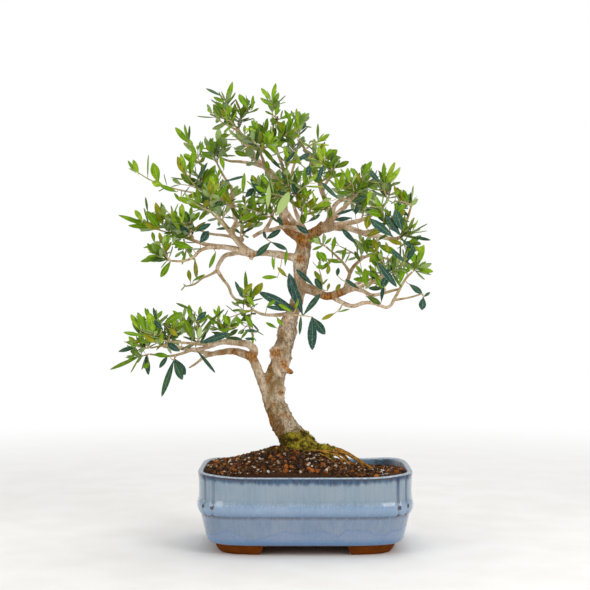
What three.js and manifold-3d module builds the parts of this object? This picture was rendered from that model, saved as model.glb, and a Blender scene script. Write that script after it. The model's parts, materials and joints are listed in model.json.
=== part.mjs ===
// An olive bonsai in its glazed stoneware pot, in millimetres, +Z up, the viewer's side towards -Y.
//
// The origin is on the surface that the pot stands on, under the middle of the whole object's box. The crown
// reaches further to the left than to the right, so the pot stands POT_X to the right of the origin.
//
// Pieces: the pot with its four feet, a mesh screen over each of its two drain holes, the soil, the wood
// (trunk, branches, surface roots and buried roots grown as one piece), and the leafy sprays, each a stem
// with its side shoots and its opposite pairs of leaves.

import * as THREE from 'three';
import { mergeVertices } from 'three/addons/utils/BufferGeometryUtils.js';
import Module from 'manifold-3d';

const wasm = await Module();
wasm.setup();

// ---------------------------------------------------------------- driving dimensions

const POT_X = 33;
const POT_Y = -6;
const GAP = 0.3; // left between pieces that touch

// Pot
const RIM_HALF_LENGTH = 104;
const RIM_HALF_DEPTH = 77;
const RIM_HEIGHT = 76.2;
const FOOT_HEIGHT = 9.6;
const PLAN_POWER = 5; // 2 is an ellipse, larger is squarer
const WALL = 5;
const FLOOR_TOP = 16;
const GROOVE_DEPTH = 1.5;
const GROOVE_ANGLES = [35, 49]; // degrees in each quarter, the two grooves that flank a corner
const FOOT_INSET = 3;
const FOOT_TAPER = 5;
const FOOT_GAP_ACROSS = 39.5; // half of the gap between the feet along the front
const FOOT_GAP_DEEP = 27; // half of the gap between the feet along an end
const DRAIN_X = 45;
const DRAIN_RADIUS = 7;

// Outer wall from the foot line up to the lip: height, then how far it stands out from the rim's plan.
const WALL_PROFILE = [
  [FOOT_HEIGHT, -13], [11, -10], [14.5, -7.4], [38.4, -1.9], [39.8, -0.4], [47, 1.4], [53, 0.6],
  [56, -0.2], [74.6, 0.3], [RIM_HEIGHT, -0.9],
];

// Drain screens
const SCREEN_HALF = 13;
const SCREEN_THICKNESS = 1.2;
const SCREEN_HOLES = 2; // a side
const SCREEN_BAR = 1.6;

// Soil
const SOIL_RINGS = 6;
const SOIL_EDGE = -3; // soil level at the wall, from the rim
const MOUND_HEIGHT = 23;
const MOUND_SPREAD = 43;
const MOUND_X = -13;
const SOIL_DIPS = [[42, 12, 5, 20], [66, 44, 8, 28]]; // x, y, depth, spread
const SOIL_RELIEF = 1.2;
const CHIP_COUNT = 14;
const CHIP_SIZE = 2.6;

// Leaves
const LEAF_THICKNESS = 0.75;
const BLADE = [[0.38, 1], [0.75, 0.76]]; // a blade's sections: how far along it, part of its width
const SMALL_BLADE = [[0.45, 1]]; // the same for the leaves of side shoots and behind the outer ones
const LEAF_CLEARANCE = 1.15;
const OWN_STEM_EASE = 1.1; // a blade may come this much nearer to the stems of its own spray
const STEM_RADIUS = 1.1;
const STEM_START_RADIUS = 0.5;
const STEM_TAPER = 0.62;
const TWIG_RADIUS = 0.85;
const JOINT_LENGTH = 1.8; // of the stretch of stem that a pair of leaves rises from
const SHOOT_RANKS = [2, 4]; // the pairs, counted from the tip, that side shoots rise from
const SHOOT_PAIRS = 2;
const KEPT_RANKS = [0, 2]; // the pairs that are built, counted from the tip

// Every route below is drawn on the front elevation, x from the middle of the pot and z from the table, as
// an eye sees it from this far in front of the pot, and y says how far behind the pot's middle it lies.
const EYE_X = -10;
const EYE_Z = 248;
const EYE_DISTANCE = 1314;

const point = (x, y, z) => new THREE.Vector3(x, y, z);

function seen([x, z, y = 0]) {
  const spread = 1 + y / EYE_DISTANCE;
  return point(
    POT_X + EYE_X + (x - EYE_X) * spread,
    POT_Y + y,
    EYE_Z + (z - EYE_Z) * spread,
  );
}

// ---------------------------------------------------------------- the tree's routes

// Trunk: [x, z, y, radius], from under the soil to the fork.
const TRUNK = [
  [-4, 60, 2, 17], [-5, 80, 2, 21], [-6, 92, 2, 20], [-9, 101, 2, 15.5], [-15, 110, 1, 12.5],
  [-22, 120, 0, 12.2], [-26.5, 131, 0, 11], [-31, 141, 1, 10.4], [-32, 151, 2, 12], [-31, 161, 2, 10.8],
  [-29, 171, 1, 10.2], [-25, 181, 0, 10.3], [-23.5, 191, 0, 10.6], [-20, 201, -1, 9], [-18, 211, -2, 9.6],
  [-16, 221, -2, 8.2], [-12.5, 230, -2, 6.7], [-8.5, 242, -1, 6.6], [-6, 252, 0, 6.2], [-5, 262, 0, 6.1],
  [-5, 272, 0, 6.6], [-4, 281, 0, 8], [-2.5, 288, 0, 8.2], [-1.5, 297, 0, 6.7], [-1, 306, 0, 8.4],
];

// Branches: the points of each route, then its radius at the start and at the end.
const BRANCHES = {
  fork_left: [[[0, 303], [-9, 309], [-17, 315], [-22, 322], [-21, 330]], 7.2, 4.2],
  fork_right: [[[0, 303], [7, 308], [14, 313], [19, 319]], 7, 4.4],
  leader: [[[-21, 327], [-24, 337], [-27, 351, 2], [-30, 364, 2], [-38, 374, 1], [-47, 382], [-53, 392, -1],
    [-58, 402, -1], [-66, 411], [-75, 416, 2]], 4.6, 1.1],
  leader_side: [[[-40, 376, 1], [-52, 379, 8], [-65, 381, 18], [-77, 382, 28], [-90, 388, 34]], 2, 0.9],
  leader_front: [[[-40, 376, 1], [-42, 383, -12], [-44, 389, -24], [-44, 394, -34]], 1.8, 0.9],
  middle: [[[-21, 328], [-20, 340, -4], [-19, 352, -7], [-20, 364, -9], [-23, 378, -10], [-28, 392, -8],
    [-31, 406, -4], [-32, 420, 0]], 2.9, 0.9],
  middle_back: [[[-20, 352, -7], [-15, 362, 8], [-12, 374, 24], [-8, 386, 38]], 2, 0.9],
  right_leader: [[[21, 314], [25, 328, 3], [21, 341, 6], [16, 354, 7], [13, 367, 6], [7, 381, 4], [0, 393, 2],
    [-6, 404, 2]], 3.4, 1],
  right_leader_front: [[[17, 352, 7], [20, 358, -8], [24, 364, -22], [27, 370, -32]], 1.8, 0.9],
  right_main: [[[16, 314], [24, 315], [33, 317]], 4.8, 3.8],
  right_up: [[[25, 316], [27, 330, -6], [31, 339, -9], [38, 343, -12], [47, 345, -14]], 3.1, 1.4],
  right_up_back: [[[26, 322], [36, 332, 18], [47, 343, 34], [57, 353, 46]], 2.6, 1],
  right_high: [[[31, 317], [45, 320, 6], [57, 323, 10], [70, 330, 14], [82, 341, 16]], 3, 1],
  right_out: [[[31, 316], [45, 314, -4], [54, 311, -6], [65, 308, -8], [76, 306, -8], [87, 304, -6],
    [95, 306, -4], [99, 316, -2], [103, 327], [106, 337]], 3.2, 1],
  right_out_front: [[[50, 313, -5], [58, 311, -20], [68, 313, -34], [78, 318, -46]], 2, 0.9],
  back: [[[0, 304, 3], [-8, 316, 22], [-17, 329, 40], [-24, 343, 56]], 4.2, 1.4],
  back_right: [[[12, 310, 3], [22, 321, 26], [33, 331, 46], [42, 339, 64]], 3.2, 1.1],
  front: [[[2, 306, -4], [-3, 317, -22], [-9, 330, -38], [-13, 344, -52]], 3.6, 1.2],
  cream_twig: [[[-1, 312, -13], [-20, 316, -13], [-33, 313, -14], [-43, 311, -14],
    [-52, 306, -14]], 2.3, 1.8],
  cream_up: [[[-40, 312, -14], [-35, 321, -16], [-32, 329, -18], [-35, 338, -22]], 1.8, 1],
  left_mid: [[[-4, 284], [-15, 286, -1], [-30, 289, -3], [-43, 290, -4], [-55, 288, -4]], 4.3, 2.8],
  left_rise: [[[-52, 289, -4], [-61, 295, -4], [-69, 303, -3], [-72, 313, -1], [-69, 322], [-72, 333],
    [-84, 342, -2], [-98, 347, -4], [-112, 350, -6]], 2.8, 1],
  left_high: [[[-80, 340, -1], [-90, 353, 5], [-98, 365, 10], [-103, 378, 12]], 1.6, 0.9],
  left_top: [[[-70, 326], [-72, 341, 10], [-74, 355, 18], [-82, 368, 22], [-88, 380, 22]], 1.8, 0.9],
  left_out: [[[-56, 290, -4], [-75, 295, -8], [-90, 297, -10], [-101, 299, -12], [-113, 303, -12],
    [-127, 308, -10]], 3, 1.1],
  left_drop: [[[-85, 296, -10], [-98, 295, -16], [-105, 292, -20], [-111, 286, -24], [-121, 282, -28],
    [-133, 282, -30]], 2.1, 1],
  left_back: [[[-50, 289, -4], [-58, 298, 12], [-68, 311, 30], [-82, 322, 46]], 2.4, 1.1],
  left_back_out: [[[-62, 303, 20], [-78, 307, 30], [-98, 310, 38], [-115, 318, 40]], 1.8, 0.9],
  left_front: [[[-60, 292, -5], [-70, 303, -22], [-80, 316, -38], [-94, 331, -50]], 1.9, 0.9],
  arch: [[[-53, 288, -4], [-65, 290, 6], [-73, 289, 10], [-80, 287, 12], [-84, 282, 13], [-87, 276, 13],
    [-88, 271, 13]], 2.5, 1.9],
  arch_left: [[[-88, 272, 13], [-95, 268, 12], [-102, 265, 10], [-110, 259, 8], [-117, 257, 6]], 1.4, 0.8],
  arch_drop: [[[-88, 273, 13], [-82, 264, 14], [-76, 256, 16], [-73, 248, 17], [-67, 242, 18],
    [-60, 239, 18]], 1.7, 1.1],
  trunk_twig: [[[-12, 230, -3], [-30, 228, -9], [-43, 229, -11], [-52, 233, -12]], 2, 1.1],
  low_left: [[[-34, 142, 1], [-40, 153], [-44, 163], [-48, 173], [-52, 182], [-55, 188]], 5.8, 4.4],
  low_upper: [[[-53, 185], [-51, 193, -2], [-55, 198, -4], [-63, 200, -6], [-72, 201, -8], [-83, 201, -10],
    [-92, 198, -12], [-101, 195, -12], [-115, 194, -12], [-135, 198, -12], [-155, 195, -12]], 4.6, 1],
  low_lower: [[[-55, 187], [-63, 190, 4], [-72, 192, 8], [-83, 191, 12], [-93, 189, 15], [-101, 186, 16],
    [-107, 181, 16], [-116, 175, 15]], 4.5, 1],
  low_back: [[[-93, 189, 15], [-107, 192, 24], [-122, 194, 30], [-140, 196, 34]], 2.1, 0.9],
  low_front: [[[-92, 198, -12], [-104, 199, -24], [-118, 200, -34], [-136, 202, -40]], 2, 0.9],
  low_tip: [[[-112, 194, -12], [-125, 189, -7], [-138, 187, -4], [-155, 189, -3]], 1.5, 0.9],
  right_low: [[[-4, 256], [7, 253, -1], [14, 250, -2], [21, 247, -3], [35, 250, -4], [45, 254, -4],
    [51, 255, -4]], 5.4, 3],
  right_low_out: [[[50, 255, -4], [58, 252, -5], [66, 248, -6], [75, 249, -6], [86, 252, -5],
    [94, 254, -4]], 2.2, 1.1],
  right_low_arch: [[[27, 247, -4], [38, 240, -10], [48, 237, -12], [58, 240, -12], [68, 240, -11],
    [76, 237, -10], [83, 236, -9], [90, 246, -8], [96, 257, -8], [101, 265, -8], [107, 271, -8]], 2.3, 1],
  right_low_end: [[[88, 243, -9], [96, 244, -12], [106, 246, -14], [116, 249, -15]], 1.2, 0.8],
  right_low_back: [[[33, 250, -3], [44, 256, 16], [57, 261, 32], [72, 266, 44]], 2.6, 1],
  right_low_front: [[[42, 253, -5], [52, 255, -22], [64, 260, -36], [78, 266, -46]], 2.3, 1],
  right_low_up: [[[40, 253, -4], [43, 264, 2], [47, 274, 5], [53, 281, 7], [60, 286, 8], [70, 287, 9],
    [82, 284, 10], [92, 282, 10]], 2.1, 1],
  right_low_in: [[[45, 270, 4], [38, 280, -4], [29, 289, -8], [21, 296, -10]], 1.4, 0.9],
};

// Roots that lie on the soil, and the stout buried ones: the same form as the branches.
const ROOTS = {
  root_right: [[[3, 95], [18, 97, -4], [30, 95, -7], [41, 91, -10], [52, 84, -14], [63, 77, -20],
    [74, 70, -26]], 5, 1.1],
  root_right_low: [[[16, 94, -6], [24, 88, -14], [32, 82, -22], [38, 76, -30], [44, 68, -36]], 3.4, 1.2],
  root_right_thin: [[[32, 95, -6], [40, 88, -2], [46, 80, 2], [54, 72, 6]], 2.2, 1.1],
  root_left: [[[-14, 94], [-28, 88, -8], [-42, 78, -14], [-54, 66, -18]], 7, 2],
  root_back: [[[-6, 92, 6], [-2, 86, 22], [4, 76, 36], [10, 64, 46]], 7, 2],
  root_front: [[[-8, 90, -4], [-14, 84, -20], [-20, 74, -32], [-24, 62, -42]], 6.5, 2],
};

// Knobs and stubs on the trunk: where they start and end, and their radius at each.
const STUBS = {
  knob: [[[-24, 191, -6], [-34, 189, -9]], 5.6, 3.4],
  pruned_stub: [[[-24, 178, -7], [-18, 173, -9], [-13, 170, -9]], 4.6, 2],
  small_burl: [[[-27, 154, -3], [-20, 153, -4]], 6.5, 3.6],
  nub: [[[-53, 288, -4], [-54, 283, -5]], 2.8, 1.9],
};

// Sprays, by region: the limb that carries it, how far along it (0 to 1), then for each of its stems
// where the tip is, how many pairs of leaves it has and how long its longest leaves are. The draws of a
// stem are seeded by its place in this list.
const SPRAYS = {
  top: [
    ['leader', 1, [[-79, 441, 2], 6, 18], [[-93, 429, 8], 4, 17]],
    ['leader', 0.9, [[-58, 436, -8], 6, 17], [[-76, 426, -22], 4, 18]],
    ['middle', 1, [[-33, 442, 0], 4, 16], [[-24, 424, -12], 3, 17]],
    ['middle', 0.78, [[-48, 412, -28], 5, 18], [[-14, 412, -22], 5, 18]],
    ['middle_back', 1, [[-18, 412, 42], 5, 17], [[-38, 404, 54], 5, 17]],
    ['right_leader', 1, [[-6, 422, 3], 5, 16]],
    ['right_leader', 0.86, [[12, 401, -4], 3, 15]],
    ['right_leader', 0.7, [[11, 393, 32], 5, 17], [[25, 385, 8], 4, 17]],
    ['leader_side', 1, [[-96, 396, 42], 4, 16], [[-83, 402, 48], 4, 16]],
    ['leader_front', 1, [[-54, 404, -42], 4, 17], [[-34, 396, -42], 4, 18]],
  ],
  left: [
    ['left_rise', 1, [[-168, 371, -10], 2, 14]],
    ['left_high', 1, [[-117, 401, 12], 3, 15], [[-112, 384, -2], 3, 17]],
    ['left_top', 1, [[-93, 392, 26], 4, 16], [[-80, 393, 36], 4, 16]],
    ['left_rise', 0.86, [[-119, 370, -30], 4, 19], [[-103, 367, -22], 5, 18]],
    ['left_rise', 0.66, [[-88, 359, -36], 5, 18]],
    ['left_out', 1, [[-163, 321, -12], 4, 20], [[-149, 331, -4], 5, 18]],
    ['left_out', 0.78, [[-136, 330, -18], 5, 18], [[-114, 324, -34], 5, 18]],
    ['left_drop', 1, [[-149, 289, -34], 4, 18], [[-142, 298, -42], 4, 18]],
    ['left_front', 1, [[-112, 341, -72], 5, 18], [[-92, 350, -70], 5, 18]],
    ['left_back', 1, [[-98, 342, 70], 5, 18], [[-72, 348, 76], 5, 18]],
    ['left_back_out', 1, [[-136, 330, 50], 5, 17], [[-128, 312, 58], 5, 17]],
    ['arch_left', 1, [[-121, 259, 2], 2, 13]],
    ['arch_drop', 1, [[-55, 246, 14], 4, 16]],
    ['trunk_twig', 1, [[-56, 248, -18], 4, 16], [[-74, 226, -12], 3, 15], [[-53, 208, -21], 4, 15]],
  ],
  middle: [
    ['cream_up', 1, [[-50, 356, -34], 5, 18], [[-26, 354, -46], 5, 18]],
    ['front', 1, [[-18, 367, -72], 4, 18], [[4, 360, -74], 5, 18], [[-38, 350, -70], 4, 18]],
    ['front', 0.55, [[18, 342, -60], 4, 17], [[2, 346, -68], 4, 17]],
    ['back', 1, [[-34, 364, 80], 5, 18], [[-10, 360, 86], 5, 18]],
    ['cream_twig', 0.72, [[-34, 301, -16], 0, 0]],
  ],
  right: [
    ['right_leader_front', 1, [[30, 377, -42], 3, 17], [[14, 382, -50], 4, 17]],
    ['right_up', 1, [[60, 365, -22], 5, 18], [[45, 364, -30], 5, 17]],
    ['right_up_back', 1, [[60, 366, 58], 4, 17], [[73, 358, 54], 4, 17]],
    ['right_high', 1, [[84, 364, 18], 5, 18], [[71, 366, 8], 4, 17]],
    ['right_high', 0.5, [[60, 345, -4], 5, 18]],
    ['right_out', 1, [[104, 341, 2], 3, 16], [[90, 342, -16], 4, 18]],
    ['right_out', 0.62, [[107, 311, -14], 5, 18], [[106, 297, -18], 4, 18]],
    ['right_out_front', 1, [[91, 329, -62], 5, 18], [[76, 336, -70], 5, 18]],
    ['right_out', 0.4, [[72, 292, -24], 4, 18]],
    ['back_right', 1, [[62, 343, 84], 5, 18], [[42, 352, 88], 5, 18]],
  ],
  low_right: [
    ['right_low_arch', 1, [[112, 276, -8], 3, 18]],
    ['right_low_end', 1, [[118, 246, -16], 0, 0]],
    ['right_low_up', 1, [[104, 294, 14], 4, 18], [[99, 276, 20], 4, 18]],
    ['right_low_up', 0.5, [[57, 300, 18], 4, 16], [[34, 297, 16], 4, 15]],
    ['right_low_in', 1, [[12, 301, -12], 3, 14]],
    ['right_low_out', 0.7, [[71, 271, -10], 4, 18], [[58, 268, -18], 4, 17]],
    ['right_low_back', 1, [[91, 279, 56], 5, 17]],
    ['right_low_front', 1, [[92, 276, -58], 4, 18], [[77, 283, -60], 4, 17]],
  ],
  low_left: [
    ['low_upper', 1, [[-163, 217, -14], 5, 19], [[-149, 223, -8], 5, 19], [[-170, 199, -16], 4, 17]],
    ['low_tip', 1, [[-168, 186, -2], 4, 17]],
    ['low_upper', 0.72, [[-122, 224, -6], 5, 19], [[-106, 226, -16], 5, 17]],
    ['low_upper', 0.45, [[-86, 224, -14], 4, 16], [[-77, 216, -26], 4, 15]],
    ['low_back', 1, [[-154, 211, 46], 5, 17], [[-130, 214, 52], 5, 17]],
    ['low_front', 1, [[-151, 210, -54], 5, 18], [[-129, 216, -50], 5, 17]],
    ['low_tip', 0.42, [[-131, 183, -12], 0, 0]],
  ],
  trunk: [
    ['trunk', 0.66, [[-8, 237, -15], 0, 0], [[7, 226, -13], 0, 0]],
  ],
};

// Single leaves, mostly large old ones: [spray, which of its stems, how far along it, tip, width].
const SINGLE_LEAVES = [
  ['trunk_1', 0, 1, [-15, 270, -18], 10],
  ['trunk_1', 1, 0.5, [-11, 258, -26], 8.5],
  ['trunk_1', 0, 0.5, [-45, 252, -20], 9.5],
  ['trunk_1', 1, 0.5, [15, 249, -18], 6],
  ['trunk_1', 0, 0.5, [-38, 237, -24], 5],
  ['trunk_1', 1, 1, [8, 193, -14], 9.5],
  ['trunk_1', 1, 1, [21, 209, -10], 9],
  ['trunk_1', 1, 0.4, [-5, 209, -20], 3.5],
  ['middle_5', 0, 1, [-49, 287, -19], 6.5],
  ['middle_5', 0, 1, [-18, 294, -19], 5],
  ['middle_5', 0, 0.5, [-25, 313, -24], 5.5],
  ['middle_5', 0, 0.5, [-41, 311, -24], 4],
  ['middle_1', 1, 0.348, [-17, 353, -38], 9],
  ['middle_1', 0, 0.464, [-36, 358, -40], 4.5],
  ['low_left_7', 0, 0.5, [-119, 169, -14], 8.5],
  ['low_left_7', 0, 1, [-122, 164, -18], 7.5],
  ['low_left_7', 0, 1, [-143, 146, -12], 6],
  ['low_left_2', 0, 0.722, [-195, 174, -6], 4],
  ['low_left_2', 0, 0.167, [-156, 169, -12], 5.5],
  ['low_left_1', 2, 0.722, [-186, 192, -22], 4.5],
  ['low_left_4', 1, 0.167, [-64, 205, -32], 4],
  ['low_right_1', 0, 0.615, [128, 272, -10], 5.5],
  ['low_right_1', 0, 0.615, [119, 298, -12], 6.5],
  ['low_right_2', 0, 1, [117, 233, -18], 7.5],
  ['low_right_2', 0, 1, [125, 251, -14], 3],
  ['left_8', 0, 0, [-144, 266, -34], 6],
  ['left_8', 0, 0.615, [-164, 282, -38], 4.5],
  ['left_6', 0, 0.615, [-186, 329, -16], 5],
  ['left_6', 0, 0.615, [-176, 318, -18], 4.5],
  ['top_8', 1, 0.722, [32, 393, 4], 8],
  ['left_13', 0, 0.167, [-59, 272, 16], 4],
  ['top_1', 0, 0.833, [-72, 461, 0], 5.5],
];

// ---------------------------------------------------------------- solids from rings

// A closed body through rings of equally many points, each ring counter-clockwise seen from the end. The last
// ring may be a single point.
function loft(rings) {
  const sides = rings[0].length;
  const vertices = rings.flat();
  const faces = [];
  for (let side = 1; side < sides - 1; side++) faces.push(0, side + 1, side);
  for (let ring = 0; ring < rings.length - 1; ring++) {
    const base = ring * sides;
    const pointed = rings[ring + 1].length === 1;
    for (let side = 0; side < sides; side++) {
      const here = base + side;
      const next = base + (side + 1) % sides;
      if (pointed) faces.push(here, next, base + sides);
      else faces.push(here, next, next + sides, here, next + sides, here + sides);
    }
  }
  const last = (rings.length - 1) * sides;
  if (rings.at(-1).length > 1) {
    for (let side = 1; side < sides - 1; side++) faces.push(last, last + side, last + side + 1);
  }
  const geometry = new THREE.BufferGeometry();
  geometry.setFromPoints(vertices);
  geometry.setIndex(faces);
  return geometry;
}

const direct = (from, to) => to.clone().sub(from).normalize();

// The direction across a route, carried on to a new stretch of it without twist.
function carried(across, along) {
  const level = across.clone().addScaledVector(along, -across.dot(along));
  if (level.length() > 0.01) return level.normalize();
  return point(1, 0, 0).addScaledVector(along, -along.x).normalize();
}

function ringAround(centre, along, across, radius, sides) {
  const over = along.clone().cross(across);
  return Array.from({ length: sides }, (_, side) => {
    const angle = (2 * Math.PI * side) / sides;
    return centre.clone()
      .addScaledVector(across, radius * Math.cos(angle))
      .addScaledVector(over, radius * Math.sin(angle));
  });
}

// A tapering tube of so many sides through the points.
function tube(points, radii, sides) {
  const last = points.length - 1;
  let across = point(0, -1, 0);
  return loft(points.map((centre, i) => {
    const along = direct(points[Math.max(i - 1, 0)], points[Math.min(i + 1, last)]);
    across = carried(across, along);
    return ringAround(centre, along, across, radii[i], sides);
  }));
}

function toManifold(geometry) {
  const vertProperties = new Float32Array(geometry.attributes.position.array);
  const triVerts = new Uint32Array(geometry.index.array);
  return new wasm.Manifold(new wasm.Mesh({ numProp: 3, vertProperties, triVerts }));
}

function toGeometry(manifold) {
  const { vertProperties, triVerts } = manifold.getMesh();
  const geometry = new THREE.BufferGeometry();
  geometry.setAttribute('position', new THREE.BufferAttribute(new Float32Array(vertProperties), 3));
  geometry.setIndex(new THREE.BufferAttribute(new Uint32Array(triVerts), 1));
  geometry.computeVertexNormals();
  return geometry;
}

const join = (geometries) => geometries.map(toManifold).reduce((whole, piece) => whole.add(piece));

// Draws that are the same on every run.
function dice(seed) {
  let state = (seed * 48271 + 12345) % 2147483647;
  return () => {
    state = (state * 16807) % 2147483647;
    return state / 2147483647;
  };
}

const between = (low, high, draw) => low + (high - low) * draw;

// ---------------------------------------------------------------- pot, screens and soil

// The pot's plan at a given distance outside its rim line: bowed sides that run into round corners.
function planPoint(degrees, outset, z) {
  const angle = THREE.MathUtils.degToRad(degrees);
  const bend = (value) => Math.sign(value) * Math.abs(value) ** (2 / PLAN_POWER);
  return point(
    POT_X + (RIM_HALF_LENGTH + outset) * bend(Math.cos(angle)),
    POT_Y + (RIM_HALF_DEPTH + outset) * bend(Math.sin(angle)),
    z,
  );
}

// Angles round the outer wall, closer together at the two grooves that flank each corner.
const QUARTER_ANGLES = [0, 4, 16, 32.5, 35, 37.5, 46.5, 49, 51.5, 72, 86, 90];
const WALL_ANGLES = [...new Set(QUARTER_ANGLES.flatMap((angle) => (
  [angle, 180 - angle, 180 + angle, (360 - angle) % 360])))].sort((a, b) => a - b);
const INNER_ANGLES = Array.from({ length: 24 }, (_, i) => i * 15);

// Inside of the wall: height, then distance outside the rim's plan. The soil follows it GAP further in.
const INNER_PROFILE = [
  [FLOOR_TOP, -WALL - 10.5], [19, -WALL - 7.8], [40, -WALL - 2.6], [56, -WALL - 0.4],
  [75, -WALL + 0.2], [RIM_HEIGHT + 1, -WALL + 1.2],
];

const ring = (angles, outset, z) => angles.map((angle) => planPoint(angle, outset, z));

const block = (low, high) => {
  const corners = (z) => [[low.x, low.y], [high.x, low.y], [high.x, high.y], [low.x, high.y]]
    .map(([x, y]) => point(x, y, z));
  return loft([corners(low.z), corners(high.z)]);
};

function buildPot() {
  const quarter = (angle) => 90 - Math.abs(90 - (angle % 180));
  const dent = (angle) => (GROOVE_ANGLES.includes(quarter(angle)) ? GROOVE_DEPTH : 0);
  const outer = loft(WALL_PROFILE.map(([z, outset]) => (
    WALL_ANGLES.map((angle) => planPoint(angle, outset - dent(angle), z)))));
  const inner = loft(INNER_PROFILE.map(([z, outset]) => ring(INNER_ANGLES, outset, z)));

  // The feet are one moulded ring under the base, cut through along and across.
  const footTop = WALL_PROFILE[0][1] - FOOT_INSET;
  const footRing = loft([
    ring(INNER_ANGLES, footTop - FOOT_TAPER - 0.8, 0),
    ring(INNER_ANGLES, footTop - FOOT_TAPER, 0.9),
    ring(INNER_ANGLES, footTop, FOOT_HEIGHT + 1),
  ]);
  const cutTop = FOOT_HEIGHT + 0.4;
  const section = (halfX, halfY, z) => [[-halfX, -halfY], [halfX, -halfY], [halfX, halfY], [-halfX, halfY]]
    .map(([x, y]) => point(POT_X + x, POT_Y + y, z));
  const past = RIM_HALF_LENGTH;
  const across = loft([
    section(FOOT_GAP_ACROSS + FOOT_TAPER, past, -1),
    section(FOOT_GAP_ACROSS, past, cutTop),
  ]);
  const along = loft([
    section(past, FOOT_GAP_DEEP + FOOT_TAPER, -1),
    section(past, FOOT_GAP_DEEP, cutTop),
  ]);
  let pot = toManifold(footRing).subtract(toManifold(across)).subtract(toManifold(along))
    .add(toManifold(outer)).subtract(toManifold(inner));
  for (const side of [-1, 1]) {
    const centre = (z) => point(POT_X + side * DRAIN_X, POT_Y, z);
    const hole = tube([centre(FOOT_HEIGHT - 2), centre(FLOOR_TOP + 2)], [DRAIN_RADIUS, DRAIN_RADIUS], 14);
    pot = pot.subtract(toManifold(hole));
  }
  return pot;
}

function buildScreen(side) {
  const centre = point(POT_X + side * DRAIN_X, POT_Y, FLOOR_TOP + GAP);
  const half = point(SCREEN_HALF, SCREEN_HALF, 0);
  const top = point(SCREEN_HALF, SCREEN_HALF, SCREEN_THICKNESS);
  let plate = toManifold(block(centre.clone().sub(half), centre.clone().add(top)));
  const pitch = (2 * SCREEN_HALF - SCREEN_BAR) / SCREEN_HOLES;
  for (let column = 0; column < SCREEN_HOLES; column++) {
    for (let row = 0; row < SCREEN_HOLES; row++) {
      const low = point(
        centre.x - SCREEN_HALF + SCREEN_BAR + column * pitch,
        centre.y - SCREEN_HALF + SCREEN_BAR + row * pitch,
        centre.z - 1,
      );
      const high = low.clone().add(point(pitch - SCREEN_BAR, pitch - SCREEN_BAR, SCREEN_THICKNESS + 2));
      plate = plate.subtract(toManifold(block(low, high)));
    }
  }
  return plate;
}

// Height of the soil at a place measured from the pot's middle.
function soilHeight(x, y) {
  const hill = (cx, cy, spread) => Math.exp(-((x - cx) ** 2 + (y - cy) ** 2) / (2 * spread * spread));
  const dips = SOIL_DIPS.reduce((sum, [cx, cy, depth, spread]) => sum + depth * hill(cx, cy, spread), 0);
  return RIM_HEIGHT + SOIL_EDGE + MOUND_HEIGHT * hill(MOUND_X, 0, MOUND_SPREAD) - dips;
}

function buildSoil(woodHole) {
  const draw = dice(11);
  const wall = INNER_PROFILE.slice(0, 4).map(([z, outset]) => ring(INNER_ANGLES, outset - GAP, z));
  wall[0].forEach((corner) => { corner.z += GAP; });
  const surface = [];
  for (let i = 0; i < SOIL_RINGS; i++) {
    const inward = i / SOIL_RINGS;
    surface.push(INNER_ANGLES.map((angle) => {
      const edge = planPoint(angle, -WALL - GAP, 0);
      const spot = edge.lerp(point(POT_X + MOUND_X, POT_Y, 0), inward);
      const relief = i ? between(-SOIL_RELIEF, SOIL_RELIEF, draw()) : 0;
      return point(spot.x, spot.y, soilHeight(spot.x - POT_X, spot.y - POT_Y) + relief);
    }));
  }
  const summit = point(POT_X + MOUND_X, POT_Y, soilHeight(MOUND_X, 0));
  let soil = toManifold(loft([...wall, ...surface, [summit]]));

  // Pumice and bark chips, half sunk in the surface.
  for (let i = 0; i < CHIP_COUNT; i++) {
    const angle = 2 * Math.PI * draw();
    const reach = 0.86 * Math.sqrt(draw());
    const x = reach * (RIM_HALF_LENGTH - WALL) * Math.cos(angle);
    const y = reach * (RIM_HALF_DEPTH - WALL) * Math.sin(angle);
    const size = CHIP_SIZE * between(0.7, 1.3, draw());
    const chip = new THREE.OctahedronGeometry(size);
    chip.scale(1, between(0.6, 1, draw()), 0.8);
    chip.rotateZ(Math.PI * draw());
    chip.translate(POT_X + x, POT_Y + y, soilHeight(x, y));
    soil = soil.add(toManifold(shared(chip)));
  }
  const lift = point(SCREEN_HALF + GAP, SCREEN_HALF + GAP, SCREEN_THICKNESS + 2 * GAP);
  for (const side of [-1, 1]) {
    const centre = point(POT_X + side * DRAIN_X, POT_Y, FLOOR_TOP);
    const low = centre.clone().sub(point(lift.x, lift.y, 1));
    soil = soil.subtract(toManifold(block(low, centre.clone().add(lift))));
  }
  return soil.subtract(woodHole);
}

// ---------------------------------------------------------------- wood

const sidesFor = (radius) => {
  if (radius > 4) return 6;
  if (radius > 2.6) return 5;
  return radius > 1.9 ? 4 : 3;
};

// A route as points and radii, for the branches, roots and stubs.
function route([places, startRadius, endRadius]) {
  const points = places.map(seen);
  const last = points.length - 1;
  const radii = points.map((_, i) => between(startRadius, endRadius, i / last));
  return { points, radii, sides: sidesFor((startRadius + endRadius) / 2) };
}

const trunk = {
  points: TRUNK.map(([x, z, y]) => seen([x, z, y])),
  radii: TRUNK.map(([, , , radius]) => radius),
  sides: 9,
};
const branches = Object.fromEntries(Object.entries(BRANCHES).map(([name, data]) => [name, route(data)]));
const roots = Object.values(ROOTS).map(route);
const stubs = Object.values(STUBS).map(route);
const limbs = [trunk, ...Object.values(branches), ...roots, ...stubs];

const buildWood = () => join(limbs.map(({ points, radii, sides }) => tube(points, radii, sides)));

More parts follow.
